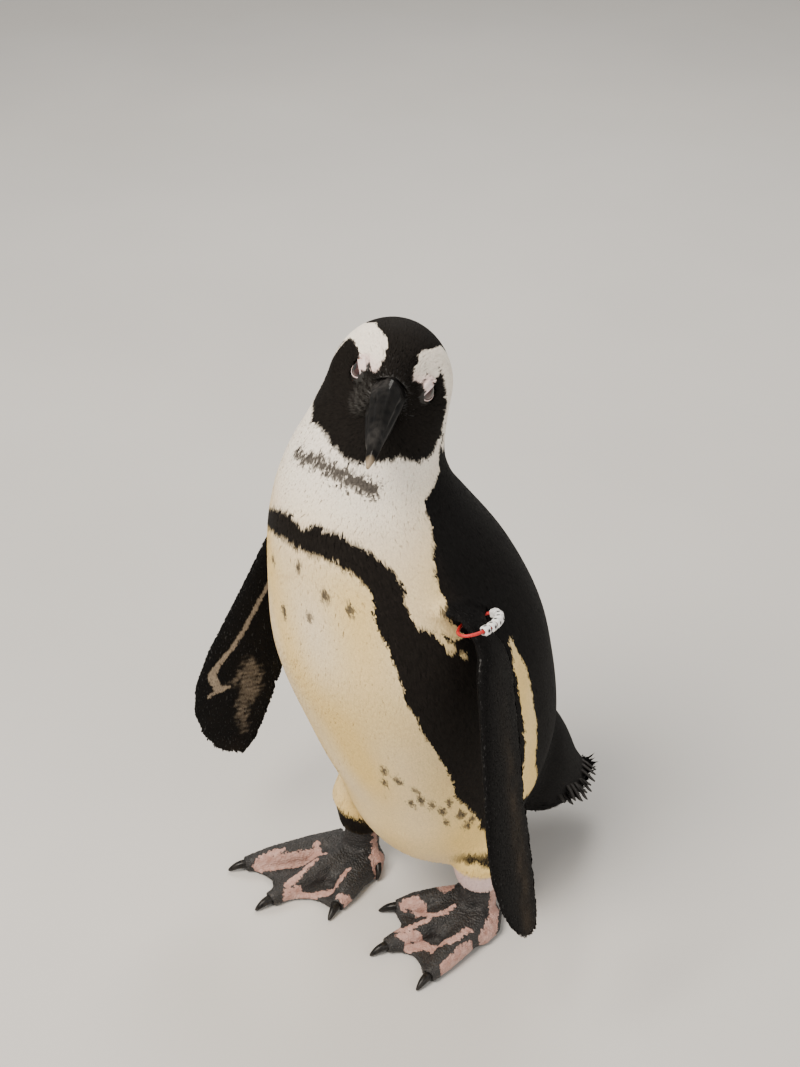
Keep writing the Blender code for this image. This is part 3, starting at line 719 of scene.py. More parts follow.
def plumage(points, normals, shares, jitter):
    """The coat's colour at each place. Jitter, in millimetres, shifts the edge from vane to vane."""
    angle, _ = around(points)
    z = points[:, 2]
    f, s, u = to_head(points).T
    on_head = share_of(shares, "head")
    jitter = jitter * (1 - 0.55 * on_head)
    # Lower down the white turns cream: partly the feathers' own tone and partly painted warm bounce light.
    low = ease(z, 372, 290)
    white = blend(WHITE, CREAM, low * (0.8 + 0.25 * waves(points, 60, 3)))
    black = blend(BACK_BLACK, BAND_BLACK, ease(100 - np.abs(angle), 0, 20))
    black = blend(black, FACE_BLACK, ease(z, 365, 375))
    dark = body_dark(points) + (0.9 - 0.5 * on_head) * waves(points, 7, 1) + jitter
    tail = share_of(shares, "tail")
    under = np.maximum(ease(normals[:, 2], -0.9, -0.5) * 8 - 2, points[:, 1] - 50 + 5 * waves(points, 8, 4))
    dark = np.where(tail > 0.5, np.maximum(dark, under), dark)
    vent = np.minimum(points[:, 1] - 8, 104 - z) + 3 * waves(points, 9, 14)
    dark = np.where(tail > 0.5, dark, np.maximum(dark, vent))
    colour = blend(white, SMUDGE_GREY, 0.94 * smudge(points, jitter))
    colour = blend(colour, MOTTLE_BROWN, mottled(points, jitter) * (1 - on_head))
    eye_gap = np.linalg.norm(np.stack([f - 5, np.abs(s) - 21, u - 5], 1), axis=1)
    prong = ease(u, 16, 5) * ease(f, -1, 8)
    colour = blend(colour, PINK_WHITE, 0.8 * np.maximum(prong, ease(eye_gap, 11, 5)) * on_head)
    colour = blend(colour, black, ease(dark, -0.15, 0.15))
    # Grey streaks beside the bill's base on the right side: partly grey striation and partly painted
    # reflection.
    gap = np.linalg.norm(np.stack([(f - 16) / 1.1, (s + 14.5) / 0.8, (u + 7.0) / 1.25], 1), axis=1)
    streak = np.clip(0.45 + 0.7 * waves(np.stack([f * 0.25, s, u * 0.5], 1), 2.2, 31), 0, 1)
    colour = blend(colour, FACE_GREY, 0.8 * ease(gap, 12, 5) * streak * ease(dark, 0, 1))
    colour = leg_colour(points, colour, shares, jitter)
    for side in SIDES:
        on = share_of(shares, "flipper_" + side)
        # The outer face: black with a brown band that is partly the feathers' tone and partly painted sheen.
        wing = blend(BACK_BLACK, FLIPPER_BROWN_AND_SHEEN, flipper_sheen(points, side))
        wing = blend(wing, FLIPPER_PALE, flipper_pale(points, side))
        share = ease(on, 0.3, 0.7)[:, None]
        colour = colour * (1 - share) + wing * share
    return colour


# Pink on the feet, right then left: strokes of sideways, forward place and half width, on the floor's plan
FOOT_PINK = (
    table((-101, -106, 1.6), (-98, -98, 2.0), (-95.5, -91, 1.4)),
    table(
        (-99, -110, 3.0), (-94, -101, 3.4), (-89, -91, 3.0), (-84, -80.5, 3.0), (-79.5, -73, 2.6),
        (-84.5, -70, 2.4),
    ),
    table((-79.5, -73, 2.2), (-73, -70.5, 1.4)),
    table((-72.5, -78, 1.5), (-70, -88, 2.0), (-67.5, -97, 2.2), (-66.5, -106, 2.6)),
    table(
        (-63, -110, 2.6), (-60, -102.5, 3.2), (-55, -96, 3.0), (-52, -87, 2.8), (-48, -80, 3.0),
        (-50, -72, 2.4), (-51, -66, 1.6),
    ),
    table((-38, -83, 2.2), (-34, -80, 2.6), (-31, -70, 2.4)),
    table((-52, -38, 6.5), (-47, -43, 7.0)),
    table((-7, -51, 3.0), (-2.5, -46, 3.6), (4, -45, 3.6), (13, -48, 2.6), (17, -47, 2.0)),
    table((17, -47, 1.8), (21, -39, 1.6), (20.5, -29.5, 1.4)),
    table((11, -70.5, 1.8), (15.5, -66, 2.0), (17, -58, 1.6), (19, -50, 1.4)),
    table((16, -72, 2.0), (20, -67, 2.4), (23, -60.5, 2.0)),
    table(
        (24, -70, 3.0), (28, -60, 3.4), (38, -54.5, 3.4), (42, -50.5, 2.6), (43, -46.5, 2.2),
        (42.5, -38.5, 1.6), (43.5, -34, 1.6),
    ),
    table((54.5, -64, 2.8), (53.5, -57, 3.0), (51, -45.5, 2.8), (50, -39, 2.2)),
    table((34, -6, 3.0), (45, -17, 3.4), (47.5, -24.5, 2.6), (48.7, -29, 1.6)),
    table((2, -23, 6.0), (-2, -19, 6.0)),
)


def foot_pink(points):
    """Depth inside the pink blotches of the feet, in millimetres."""
    best = np.max([stroke(points[:, :2], path) for path in FOOT_PINK], axis=0)
    low = ease(points[:, 2], 3.0, 1.5) * 6
    return np.maximum(best, -20.0) - low + 0.8 * waves(points, 4, 12)


# ---------------------------------------------------------------- coat


def lie_of_coat(points, normals, shares):
    """The way the vanes lie: back from the bill, down the body's middle line, out along limbs and tail."""
    z = points[:, 2]
    step = 4.0
    body = unit(spine_at(z - step) - spine_at(z + step) + np.array((0, 0, -1e-3)))
    rump = ease(points[:, 1], 20, 70) * ease(170 - z, 0, 60)
    body = unit(body + rump[:, None] * TAIL_ALONG * 1.5)
    places = to_head(points)
    face = unit((places - np.array((30.0, 0.0, -6.0))) @ HEAD_AXES)
    on_head = ease(places[:, 2], -45, -18)[:, None] * np.clip(share_of(shares, "head", "neck"), 0, 1)[:, None]
    way = body * (1 - on_head) + face * on_head
    for side in SIDES:
        _, _, along, back, _ = flipper_axes(side)
        way = way + (unit(along + 0.16 * back) - way) * share_of(shares, "flipper_" + side)[:, None]
    way = way + (TAIL_ALONG - way) * share_of(shares, "tail")[:, None]
    way = way + (np.array((0, 0, -1.0)) - way) * share_of(shares, "leg_left", "leg_right")[:, None]
    return unit(way - normals * (way * normals).sum(1, keepdims=True))


def scattered(points, tris, density, rng):
    """Roots spread evenly by area: which triangle each is on, and its weights there."""
    area = np.linalg.norm(crosses(points, tris), axis=1) / 2
    running = np.cumsum(area * density[tris].mean(1))
    counts = np.diff(np.floor(running + 0.5), prepend=0).astype(int)
    face = np.repeat(np.arange(len(tris)), counts)
    r1, r2 = rng.random(len(face)), rng.random(len(face))
    fold = r1 + r2 > 1
    r1, r2 = np.where(fold, 1 - r1, r1), np.where(fold, 1 - r2, r2)
    return face, np.stack([1 - r1 - r2, r1, r2], 1)


def weighed(corners, weights):
    """One row from the three at each root's corners, by its weights."""
    return (corners * weights[..., None]).sum(1)


def rooted(points, normals, tris, maps, density, rng):
    """Roots with their place, normal and place on the map, and each one's corners and weights."""
    face, weights = scattered(points, tris, density, rng)
    corners = tris[face]
    roots = {
        "place": weighed(points[corners], weights),
        "normal": unit(weighed(normals[corners], weights)),
        "map": weighed(maps[face], weights),
    }
    return roots, corners, weights


def vane_mesh(name, vanes, steps):
    """Pointed arched blades: three points across at each step from root to tip, the middle one highest.

    A point is root + way * length * t + normal * height * rise(t) + side * width / 2 * shape(t), where shape
    swells to the middle and closes at the tip, and the side points drop by ARCH * width. Each point's shading
    normal is the skin's, leaning outwards at the sides and towards the tip, so that the coat lies soft.
    """
    roots, normals, ways = vanes["place"], vanes["normal"], vanes["way"]
    lengths, widths, heights = (vanes[key][:, None] for key in ("length", "width", "height"))
    swell = np.sqrt(np.clip(1 - ((steps - 0.42) / 0.60) ** 2, 0.05, 1))
    rise = 1 - (1 - steps) ** 3
    side = np.cross(normals, ways)
    count, rows = len(roots), len(steps)
    line = roots[:, None] + ways[:, None] * (lengths * steps)[..., None]
    line = line + normals[:, None] * (heights * rise)[..., None]
    reach = (widths / 2 * swell)[..., None]
    drop = normals[:, None] * (reach * ARCH * 2)
    left, right = line - side[:, None] * reach - drop, line + side[:, None] * reach - drop
    tip = roots + ways * (lengths * 1.02) + normals * (heights * 0.88)
    points = np.concatenate([np.stack([left, line, right], 2).reshape(count, rows * 3, 3), tip[:, None]], 1)
    lean_side = np.append(np.tile((-0.13, 0.0, 0.13), rows), 0.0)
    lean_tip = np.append(np.repeat(0.24 * steps - 0.10, 3), 0.18)
    lit = normals[:, None] + side[:, None] * lean_side[:, None] + ways[:, None] * lean_tip[:, None]
    row, k = np.meshgrid(np.arange(rows - 1), np.arange(2), indexing="ij")
    a = (row * 3 + k).ravel()
    last, end, each = rows * 3 - 3, rows * 3, rows * 3 + 1
    quads = repeated(np.stack([a, a + 3, a + 4, a + 1], 1), count, each)
    tris = repeated([(last, end, last + 1), (last + 1, end, last + 2)], count, each)
    made = put_mesh(name, points.reshape(-1, 3), quads, tris)
    made.data.normals_split_custom_set_from_vertices(unit(lit).reshape(-1, 3))
    outline = [np.stack([np.array((-1.0, 0.0, 1.0)), np.full(3, t * 2 - 1)], 1) for t in steps]
    put_patches(made, vanes["map"], np.vstack([*outline, (0.0, 1.0)]), quads, tris)
    return made


def coat_piece(name, slot, material, nodes, vanes, steps):
    """One piece of the coat, each vane's colour easing into that of its tip."""
    made = vane_mesh(name, vanes, steps)
    late = np.append(np.repeat(np.clip((steps - 0.5) / 0.5, 0, 1), 3), 1.0)[:, None]
    tints = vanes["colour"][:, None] * (1 - late) + vanes["tip"][:, None] * late
    put_tint(made, tints.reshape(-1, 3))
    return own(made, slot, material, *nodes)


def coat_roots(points, tris, shares, maps):
    """Everything a vane needs, at each root: place, normal, lie, size, colour and place on the map."""
    rng = np.random.default_rng(COAT_SEED)
    f, s, u = to_head(points).T
    bare = np.clip(share_of(shares, "foot_left", "foot_right"), 0, 1)
    density = by_region(shares, DENSITY) * (1 - ease(bare, 0.45, 0.6))
    for eye in (EYE_LEFT, EYE_RIGHT):
        lid = 8.4 + 1.0 * ease((points - eye) @ FORWARD, -2, 4)
        density = density * (distance(points, eye) > lid)
    beak = (f > 13) & (np.hypot(s / 10.0, (u + 2.0) / 12.0) < 0.9)
    density = density * np.where(beak, 0, 1)
    roots, corners, weights = rooted(points, normals_of(points, tris), tris, maps, density, rng)
    place, normal = roots["place"], roots["normal"]
    here = weighed(shares[corners], weights)
    way = lie_of_coat(place, normal, here)
    side = np.cross(normal, way)
    count = len(place)
    hem = ease(place[:, 2], 82, 60) * share_of(here, "trunk")
    vent = ease(place[:, 1], 6, 20) * ease(normal[:, 2], -0.2, -0.6) * ease(place[:, 2], 115, 95)
    way = unit(way + side * (rng.normal(0, 0.09, count) * (1 + 2.2 * hem + 2 * vent))[:, None])
    small = 1 - 0.35 * ease(to_head(place)[:, 0], -5, 18) * share_of(here, "head")
    length = by_region(here, LENGTH) * small * rng.uniform(0.82, 1.18, count)
    length = length * (1 + 1.0 * hem) * (1 + 0.8 * vent)
    roots["width"] = by_region(here, WIDTH) * small * rng.uniform(0.85, 1.2, count)
    depth = by_region(here, DEPTH)
    for limb in SIDES:
        on = share_of(here, "flipper_" + limb) > MOSTLY
        half = flipper_half(place, on, limb)
        depth = np.where(on, np.minimum(depth, 0.5 * half + 0.1), depth)
        length = np.where(on, length * (0.8 + 0.2 * ease(half, 0.6, 2.0)), length)
    roots["way"], roots["length"] = way, length
    roots["height"] = depth * rng.uniform(0.95, 1.01, count)
    jitter, shade = rng.normal(0, 0.5, count), rng.normal(0, 1, count)
    for key, share in (("colour", 0.6), ("tip", 1.0)):
        colour = plumage(place + way * length[:, None] * share, normal, here, jitter)
        uneven = np.where(colour.mean(1) > 0.3, 0.022, 0.16)
        roots[key] = np.clip(colour * (1 + uneven * shade)[:, None], 0.002, 0.93)
    return roots, here


def dress(points, tris, shares, maps, looks):
    """The whole coat, in pieces light enough for one mesh each."""
    roots, here = coat_roots(points, tris, shares, maps)
    angle, _ = around(roots["place"])
    z = roots["place"][:, 2]
    owner = np.array(FLESH)[np.argmax(here, axis=1)]
    trunk, ahead = owner == "trunk", np.abs(angle) < FRONT_ANGLE
    front, rear = trunk & ahead, trunk & ~ahead
    short, long = np.array((0.0, 0.55)), np.array((0.0, 0.35, 0.75))
    legs = ("leg_left", "leg_right")
    plan = [
        ("head", "head_plumage", ("head",), owner == "head", short),
        ("neck", "head_plumage", ("neck",), owner == "neck", short),
        ("breast", "body_plumage", ("trunk",), front & (z >= BREAST_FOOT), short),
        ("belly", "body_plumage", ("trunk",), front & (z < BREAST_FOOT) & (z >= BELLY_FOOT), short),
        ("hem", "body_plumage", ("trunk",), front & (z < BELLY_FOOT), long),
        ("mantle", "body_plumage", ("trunk",), rear & (z >= MANTLE_FOOT), short),
        ("rump", "body_plumage", ("trunk",), rear & (z < MANTLE_FOOT), short),
        ("tail", "dark_plumage", ("tail",), owner == "tail", long),
        ("legs", "leg_plumage", legs, np.isin(owner, legs), long),
        ("flipper_left", "dark_plumage", ("flipper_left",), owner == "flipper_left", short),
        ("flipper_right", "dark_plumage", ("flipper_right",), owner == "flipper_right", short),
    ]
    for name, slot, nodes, chosen, steps in plan:
        print("coat_" + name, int(chosen.sum()), "vanes")
        vanes = {key: value[chosen] for key, value in roots.items()}
        look = looks["flipper" if name.startswith("flipper") else "plumage"]
        coat_piece("coat_" + name, slot, look, nodes, vanes, steps)


# ---------------------------------------------------------------- head


def eye_axes(side):
    """Middle of the eye, the way it looks, its long axis towards the rear corner and its short axis up."""
    place = EYE_LEFT if side == "left" else EYE_RIGHT
    look = unit(np.array((EYE_LOOK[0], EYE_LOOK[1] * SIDES[side], EYE_LOOK[2])))
    rear = np.array((-1.0, 0.0, 0.06))
    rear = unit(rear - look * (rear @ look))
    over = np.array((0.0, 0.0, 1.0))
    over = unit(over - look * (over @ look) - rear * (over @ rear))
    return place, look @ HEAD_AXES, rear @ HEAD_AXES, over @ HEAD_AXES


EYE_RADIUS = 8.0
EYE_OPEN = (6.0, 3.0)  # half length and half height of the opening between the lids
LID_BROAD = 4.6  # from the rim to the outer edge of the skirt


def eyeball(side, material):
    """A ball with a slightly raised cornea, on a grid of turns round and steps from the way it looks."""
    place, look, rear, over = eye_axes(side)
    rows, columns = 40, 48
    away = np.linspace(0.02, np.pi - 0.02, rows)[:, None]
    turn = turns(columns)[None, :]
    radius = EYE_RADIUS + 0.35 * np.exp(-((away / 0.5) ** 2))
    flat = np.cos(turn)[..., None] * rear + np.sin(turn)[..., None] * over
    rings = place + radius[..., None] * (np.cos(away)[..., None] * look + np.sin(away)[..., None] * flat)
    made = tube_mesh("eyeball_" + side, rings)
    put_value(made, "from_pupil", np.append(np.repeat(np.degrees(away[:, 0]), columns), (0.0, 180.0)))
    return own(made, "eye", material, "eye_" + side)


def lids(side, material):
    """A narrow fleshy ring round an almond opening with a sharp rear corner, and a feathered skirt.

    At turn a and step w across the ring, the point is out from the eye's middle along
    look * cos(b) + edge(a) * sin(b), where b grows with w from the almond's own angle, and the distance
    rises to a thin roll at the rim and again over the skirt.
    """
    place, look, rear, over = eye_axes(side)
    columns = 72
    turn = turns(columns)[:, None]
    across = np.linspace(0, 1, 20)[None, :]
    c, s = np.cos(turn), np.sin(turn)
    corner = np.clip(c, 0, 1) ** 3
    tall = EYE_OPEN[1] * (1 - 0.45 * corner) * (1 + 0.12 * (s < 0))
    x, y = EYE_OPEN[0] * c, tall * s
    reach = np.hypot(x, y)
    edge = (x / reach)[..., None] * rear + (y / reach)[..., None] * over
    bend = np.arcsin(np.clip(reach / EYE_RADIUS, 0, 0.95)) + across * LID_BROAD / EYE_RADIUS
    ring = np.exp(-(((across - 0.12) / 0.11) ** 2))
    fold = 0.07 * np.sin(turn * 9 + 1.2 * np.sin(turn * 2)) * np.sin(across * np.pi)
    radius = EYE_RADIUS + 0.12 + 0.50 * ring + 1.4 * ease(across, 0.15, 1.0) + fold
    rings = place + radius[..., None] * (np.cos(bend)[..., None] * look + np.sin(bend)[..., None] * edge)
    inner = place + (EYE_RADIUS - 1.2) * unit(rings[:, :1] - place)
    outer = place + (EYE_RADIUS - 1.8) * unit(rings[:, -1:] - place)
    rows = np.concatenate([inner, rings, outer], 1)
    points, wide = rows.reshape(-1, 3), rows.shape[1]
    seam = np.arange(wide - 1)
    last = (columns - 1) * wide + seam
    seam_faces = np.stack([last, last + 1, seam + 1, seam], 1)
    faces = np.vstack([grid_faces(columns, wide, closed=False), seam_faces])
    made = put_mesh("lids_" + side, points, faces if SIDES[side] > 0 else faces[:, ::-1])
    put_value(made, "from_rim", np.tile(np.concatenate([np.zeros(1), across[0], np.ones(1)]), columns))
    shares = np.tile(np.eye(len(FLESH))[FLESH.index("head")], (len(points), 1))
    put_tint(made, plumage(points, unit(points - place), shares, np.zeros(len(points))))
    return own(made, "head_plumage", material)


# Bill sections: forward, top, bottom, half width and how far aside
UPPER_BILL = (
    (12, 10.5, -7, 9.0, -0.5), (22, 10.5, -7, 9.8, -0.5), (34, 8.3, -7.4, 8.6, -0.5), (47, 5, -7, 6.8, -0.5),
    (58, 1.4, -7.2, 5.0, -0.3), (66, -2.6, -8.8, 3.6, 0), (71.5, -6.8, -11.6, 2.4, 0),
    (74, -10.6, -13.6, 1.0, 0),
)
LOWER_BILL = (
    (12, -7.4, -13, 8.4, -0.5), (24, -7.4, -14.5, 9.0, -0.5), (36, -7.8, -14.6, 7.6, -0.5),
    (48, -7.4, -13.8, 5.7, -0.5), (58, -7.7, -12.2, 4.1, -0.3), (64, -9.2, -11, 2.5, 0),
)
RIDGE_NARROW = 0.42


def bill_rings(rows, count, columns, narrow, boxy):
    """Rings across the head: width * cos and height * sin, narrowed to the ridge and squared at the cut."""
    f, top, low, wide, aside = smooth_rows(rows, count).T[..., None]
    turn = turns(columns)[None, :]
    c, s = np.cos(turn), np.sin(turn)
    squared = np.where(s * boxy > 0, np.sign(c) * np.abs(c) ** 0.55, c)
    across = 0.98 * wide * squared * (1 - narrow * np.clip(s, 0, 1))
    up = (top + low) / 2 + (top - low) / 2 * s
    return f + 0 * across, across, up, turn + 0 * across, aside


def bill_piece(name, node, material, f, across, up, aside, hollow_shade, fold):
    """A horn of the bill from its rings, with what its look needs to know at each point."""
    made = tube_mesh(name, from_head(np.stack([f, across + aside, up], -1)))
    put_value(made, "forward", np.append(f.ravel(), (f[0, 0], f[-1, 0])))
    for key, values in (("hollow_shade", hollow_shade), ("fold", fold), ("right", ease(-across, 1.0, 4.0))):
        put_value(made, key, np.append(values.ravel(), (0, 0)))
    return own(made, "bill_horn", material, node)


def upper_bill(material):
    """The upper bill, with a groove below the ridge from the nostril forward and a nostril slit in it."""
    f, across, up, turn, aside = bill_rings(UPPER_BILL, count=120, columns=80, narrow=RIDGE_NARROW, boxy=-1)
    side = np.abs(np.cos(turn))
    above = np.sin(turn)
    groove = np.exp(-(((above - 0.30 - 0.004 * (f - 20)) / 0.13) ** 2)) * ease(f, 58, 44) * (side > 0.1)
    nostril = np.exp(-(((above - 0.33) / 0.10) ** 2) - ((f - 33.0) / 3.4) ** 2)
    plate = np.exp(-(((above + 0.25) / 0.12) ** 2)) * ease(f, 50, 38) * 0.35
    inward = (0.55 * groove + 0.9 * nostril + plate) * (side > 0.1)
    wrinkle = 0.16 * np.sin(f * 1.9 + 3 * above + 0.8 * np.sin(5 * above)) * ease(f, 30, 18)
    across = across - np.sign(across) * (inward + wrinkle)
    fold = np.exp(-(((f - 17.0 + 0.05 * across**2) / 0.9) ** 2)) * ease(above, 0.2, 0.6)
    up = up - 0.7 * fold
    return bill_piece("horn_upper_bill", "bill_upper", material, f, across, up, aside, inward, fold)


def lower_bill(material):
    """The lower bill: a trough-shaped horn whose top meets the upper bill's cutting edge."""
    f, across, up, _, aside = bill_rings(LOWER_BILL, count=70, columns=60, narrow=0.0, boxy=1)
    flat = 0 * f
    return bill_piece("horn_lower_bill", "bill_lower", material, f, across, up, aside, flat, flat)


# ---------------------------------------------------------------- feet, tail and band


def claw_horn(node, material):
    """A curved claw along the solid's own line: a round profile that thins to a blunt point."""
    points, _ = node_shape(node)
    middle = points.mean(0)
    axis = np.linalg.svd(points - middle)[2][0]
    along = (points - middle) @ axis
    ends = [points[along < along.min() + 1.2], points[along > along.max() - 1.2]]
    spreads = [np.linalg.norm(end - end.mean(0), axis=1).max() for end in ends]
    tip, root = (ends[0], ends[1]) if spreads[0] < spreads[1] else (ends[1], ends[0])
    half = points[np.abs(along - (along.min() + along.max()) / 2) < 3.5]
    rows, columns = 26, 20
    path = smooth_rows([root.mean(0), half.mean(0), tip.mean(0)], rows)
    t = np.linspace(0, 1, rows)
    radii = max(spreads) * 0.97 * np.sqrt(np.clip(1 - t**2.2, 0, 1)) * (1 - 0.25 * t) + 0.12
    made = tube_mesh("horn_" + node, carried(path, radii, columns))
    put_value(made, "along", np.append(np.repeat(t, columns), (0.0, 1.0)))
    return own(made, "claw_horn", material, node)


def foot_scales(points, tris, shares, maps, material):
    """Low six-sided domes over the bare feet: an outer ring, a raised ring inside it and a middle point."""
    rng = np.random.default_rng(SCALE_SEED)
    normals = normals_of(points, tris)
    bare = ease(share_of(shares, "foot_left", "foot_right"), 0.4, 0.7)
    density = 0.34 * bare * ease(normals[:, 2], -0.6, -0.1) * (points[:, 2] > 1.0)
    roots, _, _ = rooted(points, normals, tris, maps, density, rng)
    place, normal = roots["place"], roots["normal"]
    sides, each = 6, 13
    count = len(place)
    first = unit(np.cross(normal, unit(rng.normal(size=(count, 3)))))
    second = np.cross(normal, first)
    size = rng.uniform(0.75, 1.15, count) * (0.85 + 0.25 * ease(place[:, 2], 8, 20))
    circle = np.stack([np.cos(turns(sides)), np.sin(turns(sides))], 1)
    flat = circle[None, :, :1] * first[:, None] + circle[None, :, 1:] * second[:, None]
    outer = place[:, None] + flat * size[:, None, None] - normal[:, None] * 0.10
    inner = place[:, None] + flat * (size * 0.66)[:, None, None] + normal[:, None] * 0.26
    top = place[:, None] + normal[:, None] * 0.36
    j = np.arange(sides)
    k = (j + 1) % sides
    quads = repeated(np.stack([j, k, k + sides, j + sides], 1), count, each)
    caps = repeated(np.stack([j + sides, k + sides, np.full(sides, each - 1)], 1), count, each)
    made = put_mesh("foot_scales", np.concatenate([outer, inner, top], 1).reshape(-1, 3), quads, caps)
    put_patches(made, roots["map"], np.vstack([circle, 0.6 * circle, (0.0, 0.0)]), quads, caps)
    put_value(made, "pink", np.repeat(foot_pink(place), each))
    print("foot_scales", count, "scales")
    return own(made, "foot_skin", material, "foot_left", "foot_right")


def tail_feathers(material):
    """Stiff pointed feathers in a fan of two layers, tips along the tail's outline, each with a raised shaft.

    A feather's q runs from -1 to 1 across the fan. Its tip lies on the outline, farther forward to the sides,
    its root is inside the tail, and its blade narrows to a point over its last tenth. Its top and underside
    are 0.6 apart.
    """
    rng = np.random.default_rng(FEATHER_SEED)
    upper_count, lower_count, thick = 14, 11, 0.6
    count = upper_count + lower_count
    over = unit(np.cross(np.array((1.0, 0.0, 0.0)), TAIL_ALONG))
    over = over * np.sign(over[2])
    q = np.concatenate([np.linspace(-1, 1, upper_count), np.linspace(-0.9, 0.9, lower_count)])
    upper = np.arange(count) < upper_count
    short = np.where(upper, 5.0 * ease(q, 0.12, -0.1), 16.0)
    tip_y = 134.0 - 52.0 * np.abs(q) ** 1.25 - short + rng.uniform(-1.2, 1.2, count)
    y, z, half = TAIL_EDGE.T
    edge = np.interp(tip_y, y, half)
    droop = 13.0 * np.clip(np.abs(q) * 1.6, 0, 1) ** 2 * np.minimum(1, edge / 24)
    tip = np.stack([TAIL_ROOT[0] + np.sign(q) * (edge - 0.8), tip_y, np.interp(tip_y, y, z) - droop], 1)
    tip = tip + np.where(upper, 0.6, -2.2)[:, None] * over
    root = TAIL_ROOT + TAIL_ALONG * 34 + np.outer(q * 19, (1, 0, 0))
    root = root + np.where(upper, 5.0, -7.0)[:, None] * over
    way = unit(tip - root)
    normal = unit(over + np.outer(q * 0.5, (1, 0, 0)))
    normal = unit(normal - way * (normal * way).sum(1, keepdims=True))
    length = np.linalg.norm(tip - root, axis=1)
    width = 9.0
    steps = np.concatenate([np.linspace(0, 0.80, 6), np.linspace(0.88, 0.995, 9)])
    swell = np.where(steps < 0.89, 1.0, np.clip(1 - np.clip((steps - 0.89) / 0.11, 0, 1) ** 1.1, 0.03, 1))
    side = np.cross(normal, way)
    across = np.array((-1.0, -0.55, -0.09, 0.0, 0.09, 0.55, 1.0))
    height = np.array((-0.55, -0.22, 0.02, 0.34, 0.02, -0.22, -0.55))
    bow = 3.0 * np.sin(np.pi * steps) - 1.2 * steps**6
    line = root[:, None] + way[:, None] * (length[:, None] * steps)[..., None]
    line = line + normal[:, None] * bow[:, None]
    reach = (width / 2 * swell)[None, :, None, None]
    top = line[:, :, None] + side[:, None, None] * reach * across[:, None]
    top = top + normal[:, None, None] * height[:, None] * (0.3 + 0.7 * swell)[:, None, None]
    loop = np.concatenate([top, top[..., ::-1, :] - normal[:, None, None] * thick], 2)
    rows, columns = len(steps), len(across) * 2
    first = np.arange(len(across) - 1)
    cap = np.stack([first, first + 1, columns - 2 - first, columns - 1 - first], 1)
    faces = np.vstack([grid_faces(rows, columns), cap[:, ::-1], cap + (rows - 1) * columns])
    made = put_mesh("tail_feathers", loop.reshape(-1, 3), repeated(faces, count, rows * columns)[:, ::-1])
    put_value(made, "along", np.tile(np.repeat(steps, columns), count))
    return own(made, "dark_plumage", material, "tail")


def band_pieces(looks):
    """The red elastic loop and its six cube beads, from their solids with eased edges, and their dots."""
    points, tris = node_shape("band_elastic")
    cord = put_mesh("elastic_loop", points, tris=tris)
    round_off = cord.modifiers.new("round", "SUBSURF")
    round_off.levels = round_off.render_levels = 1
    own(cord, "band_elastic", looks["elastic"], "band_elastic")
    for index in range(1, 7):
        node = f"bead_{index}"
        points, tris = node_shape(node)
        bead = put_mesh("cube_" + node, points, tris=tris, smooth=False)
        ease_edge = bead.modifiers.new("ease", "BEVEL")
        ease_edge.width, ease_edge.segments = 0.35 * MM, 2
        ease_edge.limit_method, ease_edge.angle_limit = "ANGLE", np.radians(40)
        own(bead, "bead_plastic", looks["bead"], node)
        own(bead_dots("dots_" + node, points, tris), "bead_plastic", looks["dot"])


def bead_dots(name, points, tris):
    """A low round dot in the middle of each of a bead's four whole faces: two rings and a raised middle."""
    face = crosses(points, tris)
    area, ways = np.linalg.norm(face, axis=1), unit(face)
    found = []
    for k in np.argsort(-area):
        if all(ways[k] @ other[0] < 0.9 for other in found):
            flat = ways @ ways[k] > 0.995
            middle = np.average(points[tris[flat]].mean(1), axis=0, weights=area[flat])
            found.append((ways[k], middle, area[flat].sum()))
    found = sorted(found, key=lambda row: -row[2])[:4]
    count = 16
    turn = turns(count)[:, None]
    rings = []
    for way, middle, _ in found:
        first = unit(np.cross(way, (0.3, 0.2, 0.93)))
        circle = np.cos(turn) * first + np.sin(turn) * np.cross(way, first)
        rings += [middle + circle * 1.15 - way * 0.1, middle + circle * 0.95 + way * 0.10]
        rings += [middle + way * 0.14]
    j = np.arange(count)
    k = (j + 1) % count
    one = [(j, k, k + count), (j, k + count, j + count), (j + count, k + count, np.full(count, 2 * count))]
    one = np.vstack([np.stack(corners, 1) for corners in one])
    return put_mesh(name, np.vstack(rings), tris=repeated(one, len(found), 2 * count + 1))


# ---------------------------------------------------------------- materials


def new_material(name, **values):
    """A material and its node tree, with these values on its shader."""
    made = bpy.data.materials.new(name)
    made.use_nodes = True
    shader = made.node_tree.nodes["Principled BSDF"]
    for key, value in values.items():
        shader.inputs[key.replace("_", " ")].default_value = value
    return made, made.node_tree


def node(tree, kind, **values):
    """A node with these settings, or these values on its inputs."""
    made = tree.nodes.new(kind)
    for key, value in values.items():
        if hasattr(made, key):
            setattr(made, key, value)
        else:
            made.inputs[key.replace("_", " ")].default_value = value
    return made


def attribute(tree, name, output="Fac"):
    return node(tree, "ShaderNodeAttribute", attribute_name=name).outputs[output]


def new_group(name, inputs, outputs):
    """A shader node group with number inputs and their usual values, and outputs of the kinds given."""
    made = bpy.data.node_groups.new(name, "ShaderNodeTree")
    for label, value in inputs.items():
        socket = made.interface.new_socket(name=label, in_out="INPUT", socket_type="NodeSocketFloat")
        socket.default_value = value
    for label, kind in outputs.items():
        made.interface.new_socket(name=label, in_out="OUTPUT", socket_type=kind)
    return made, made.nodes.new("NodeGroupInput"), made.nodes.new("NodeGroupOutput")


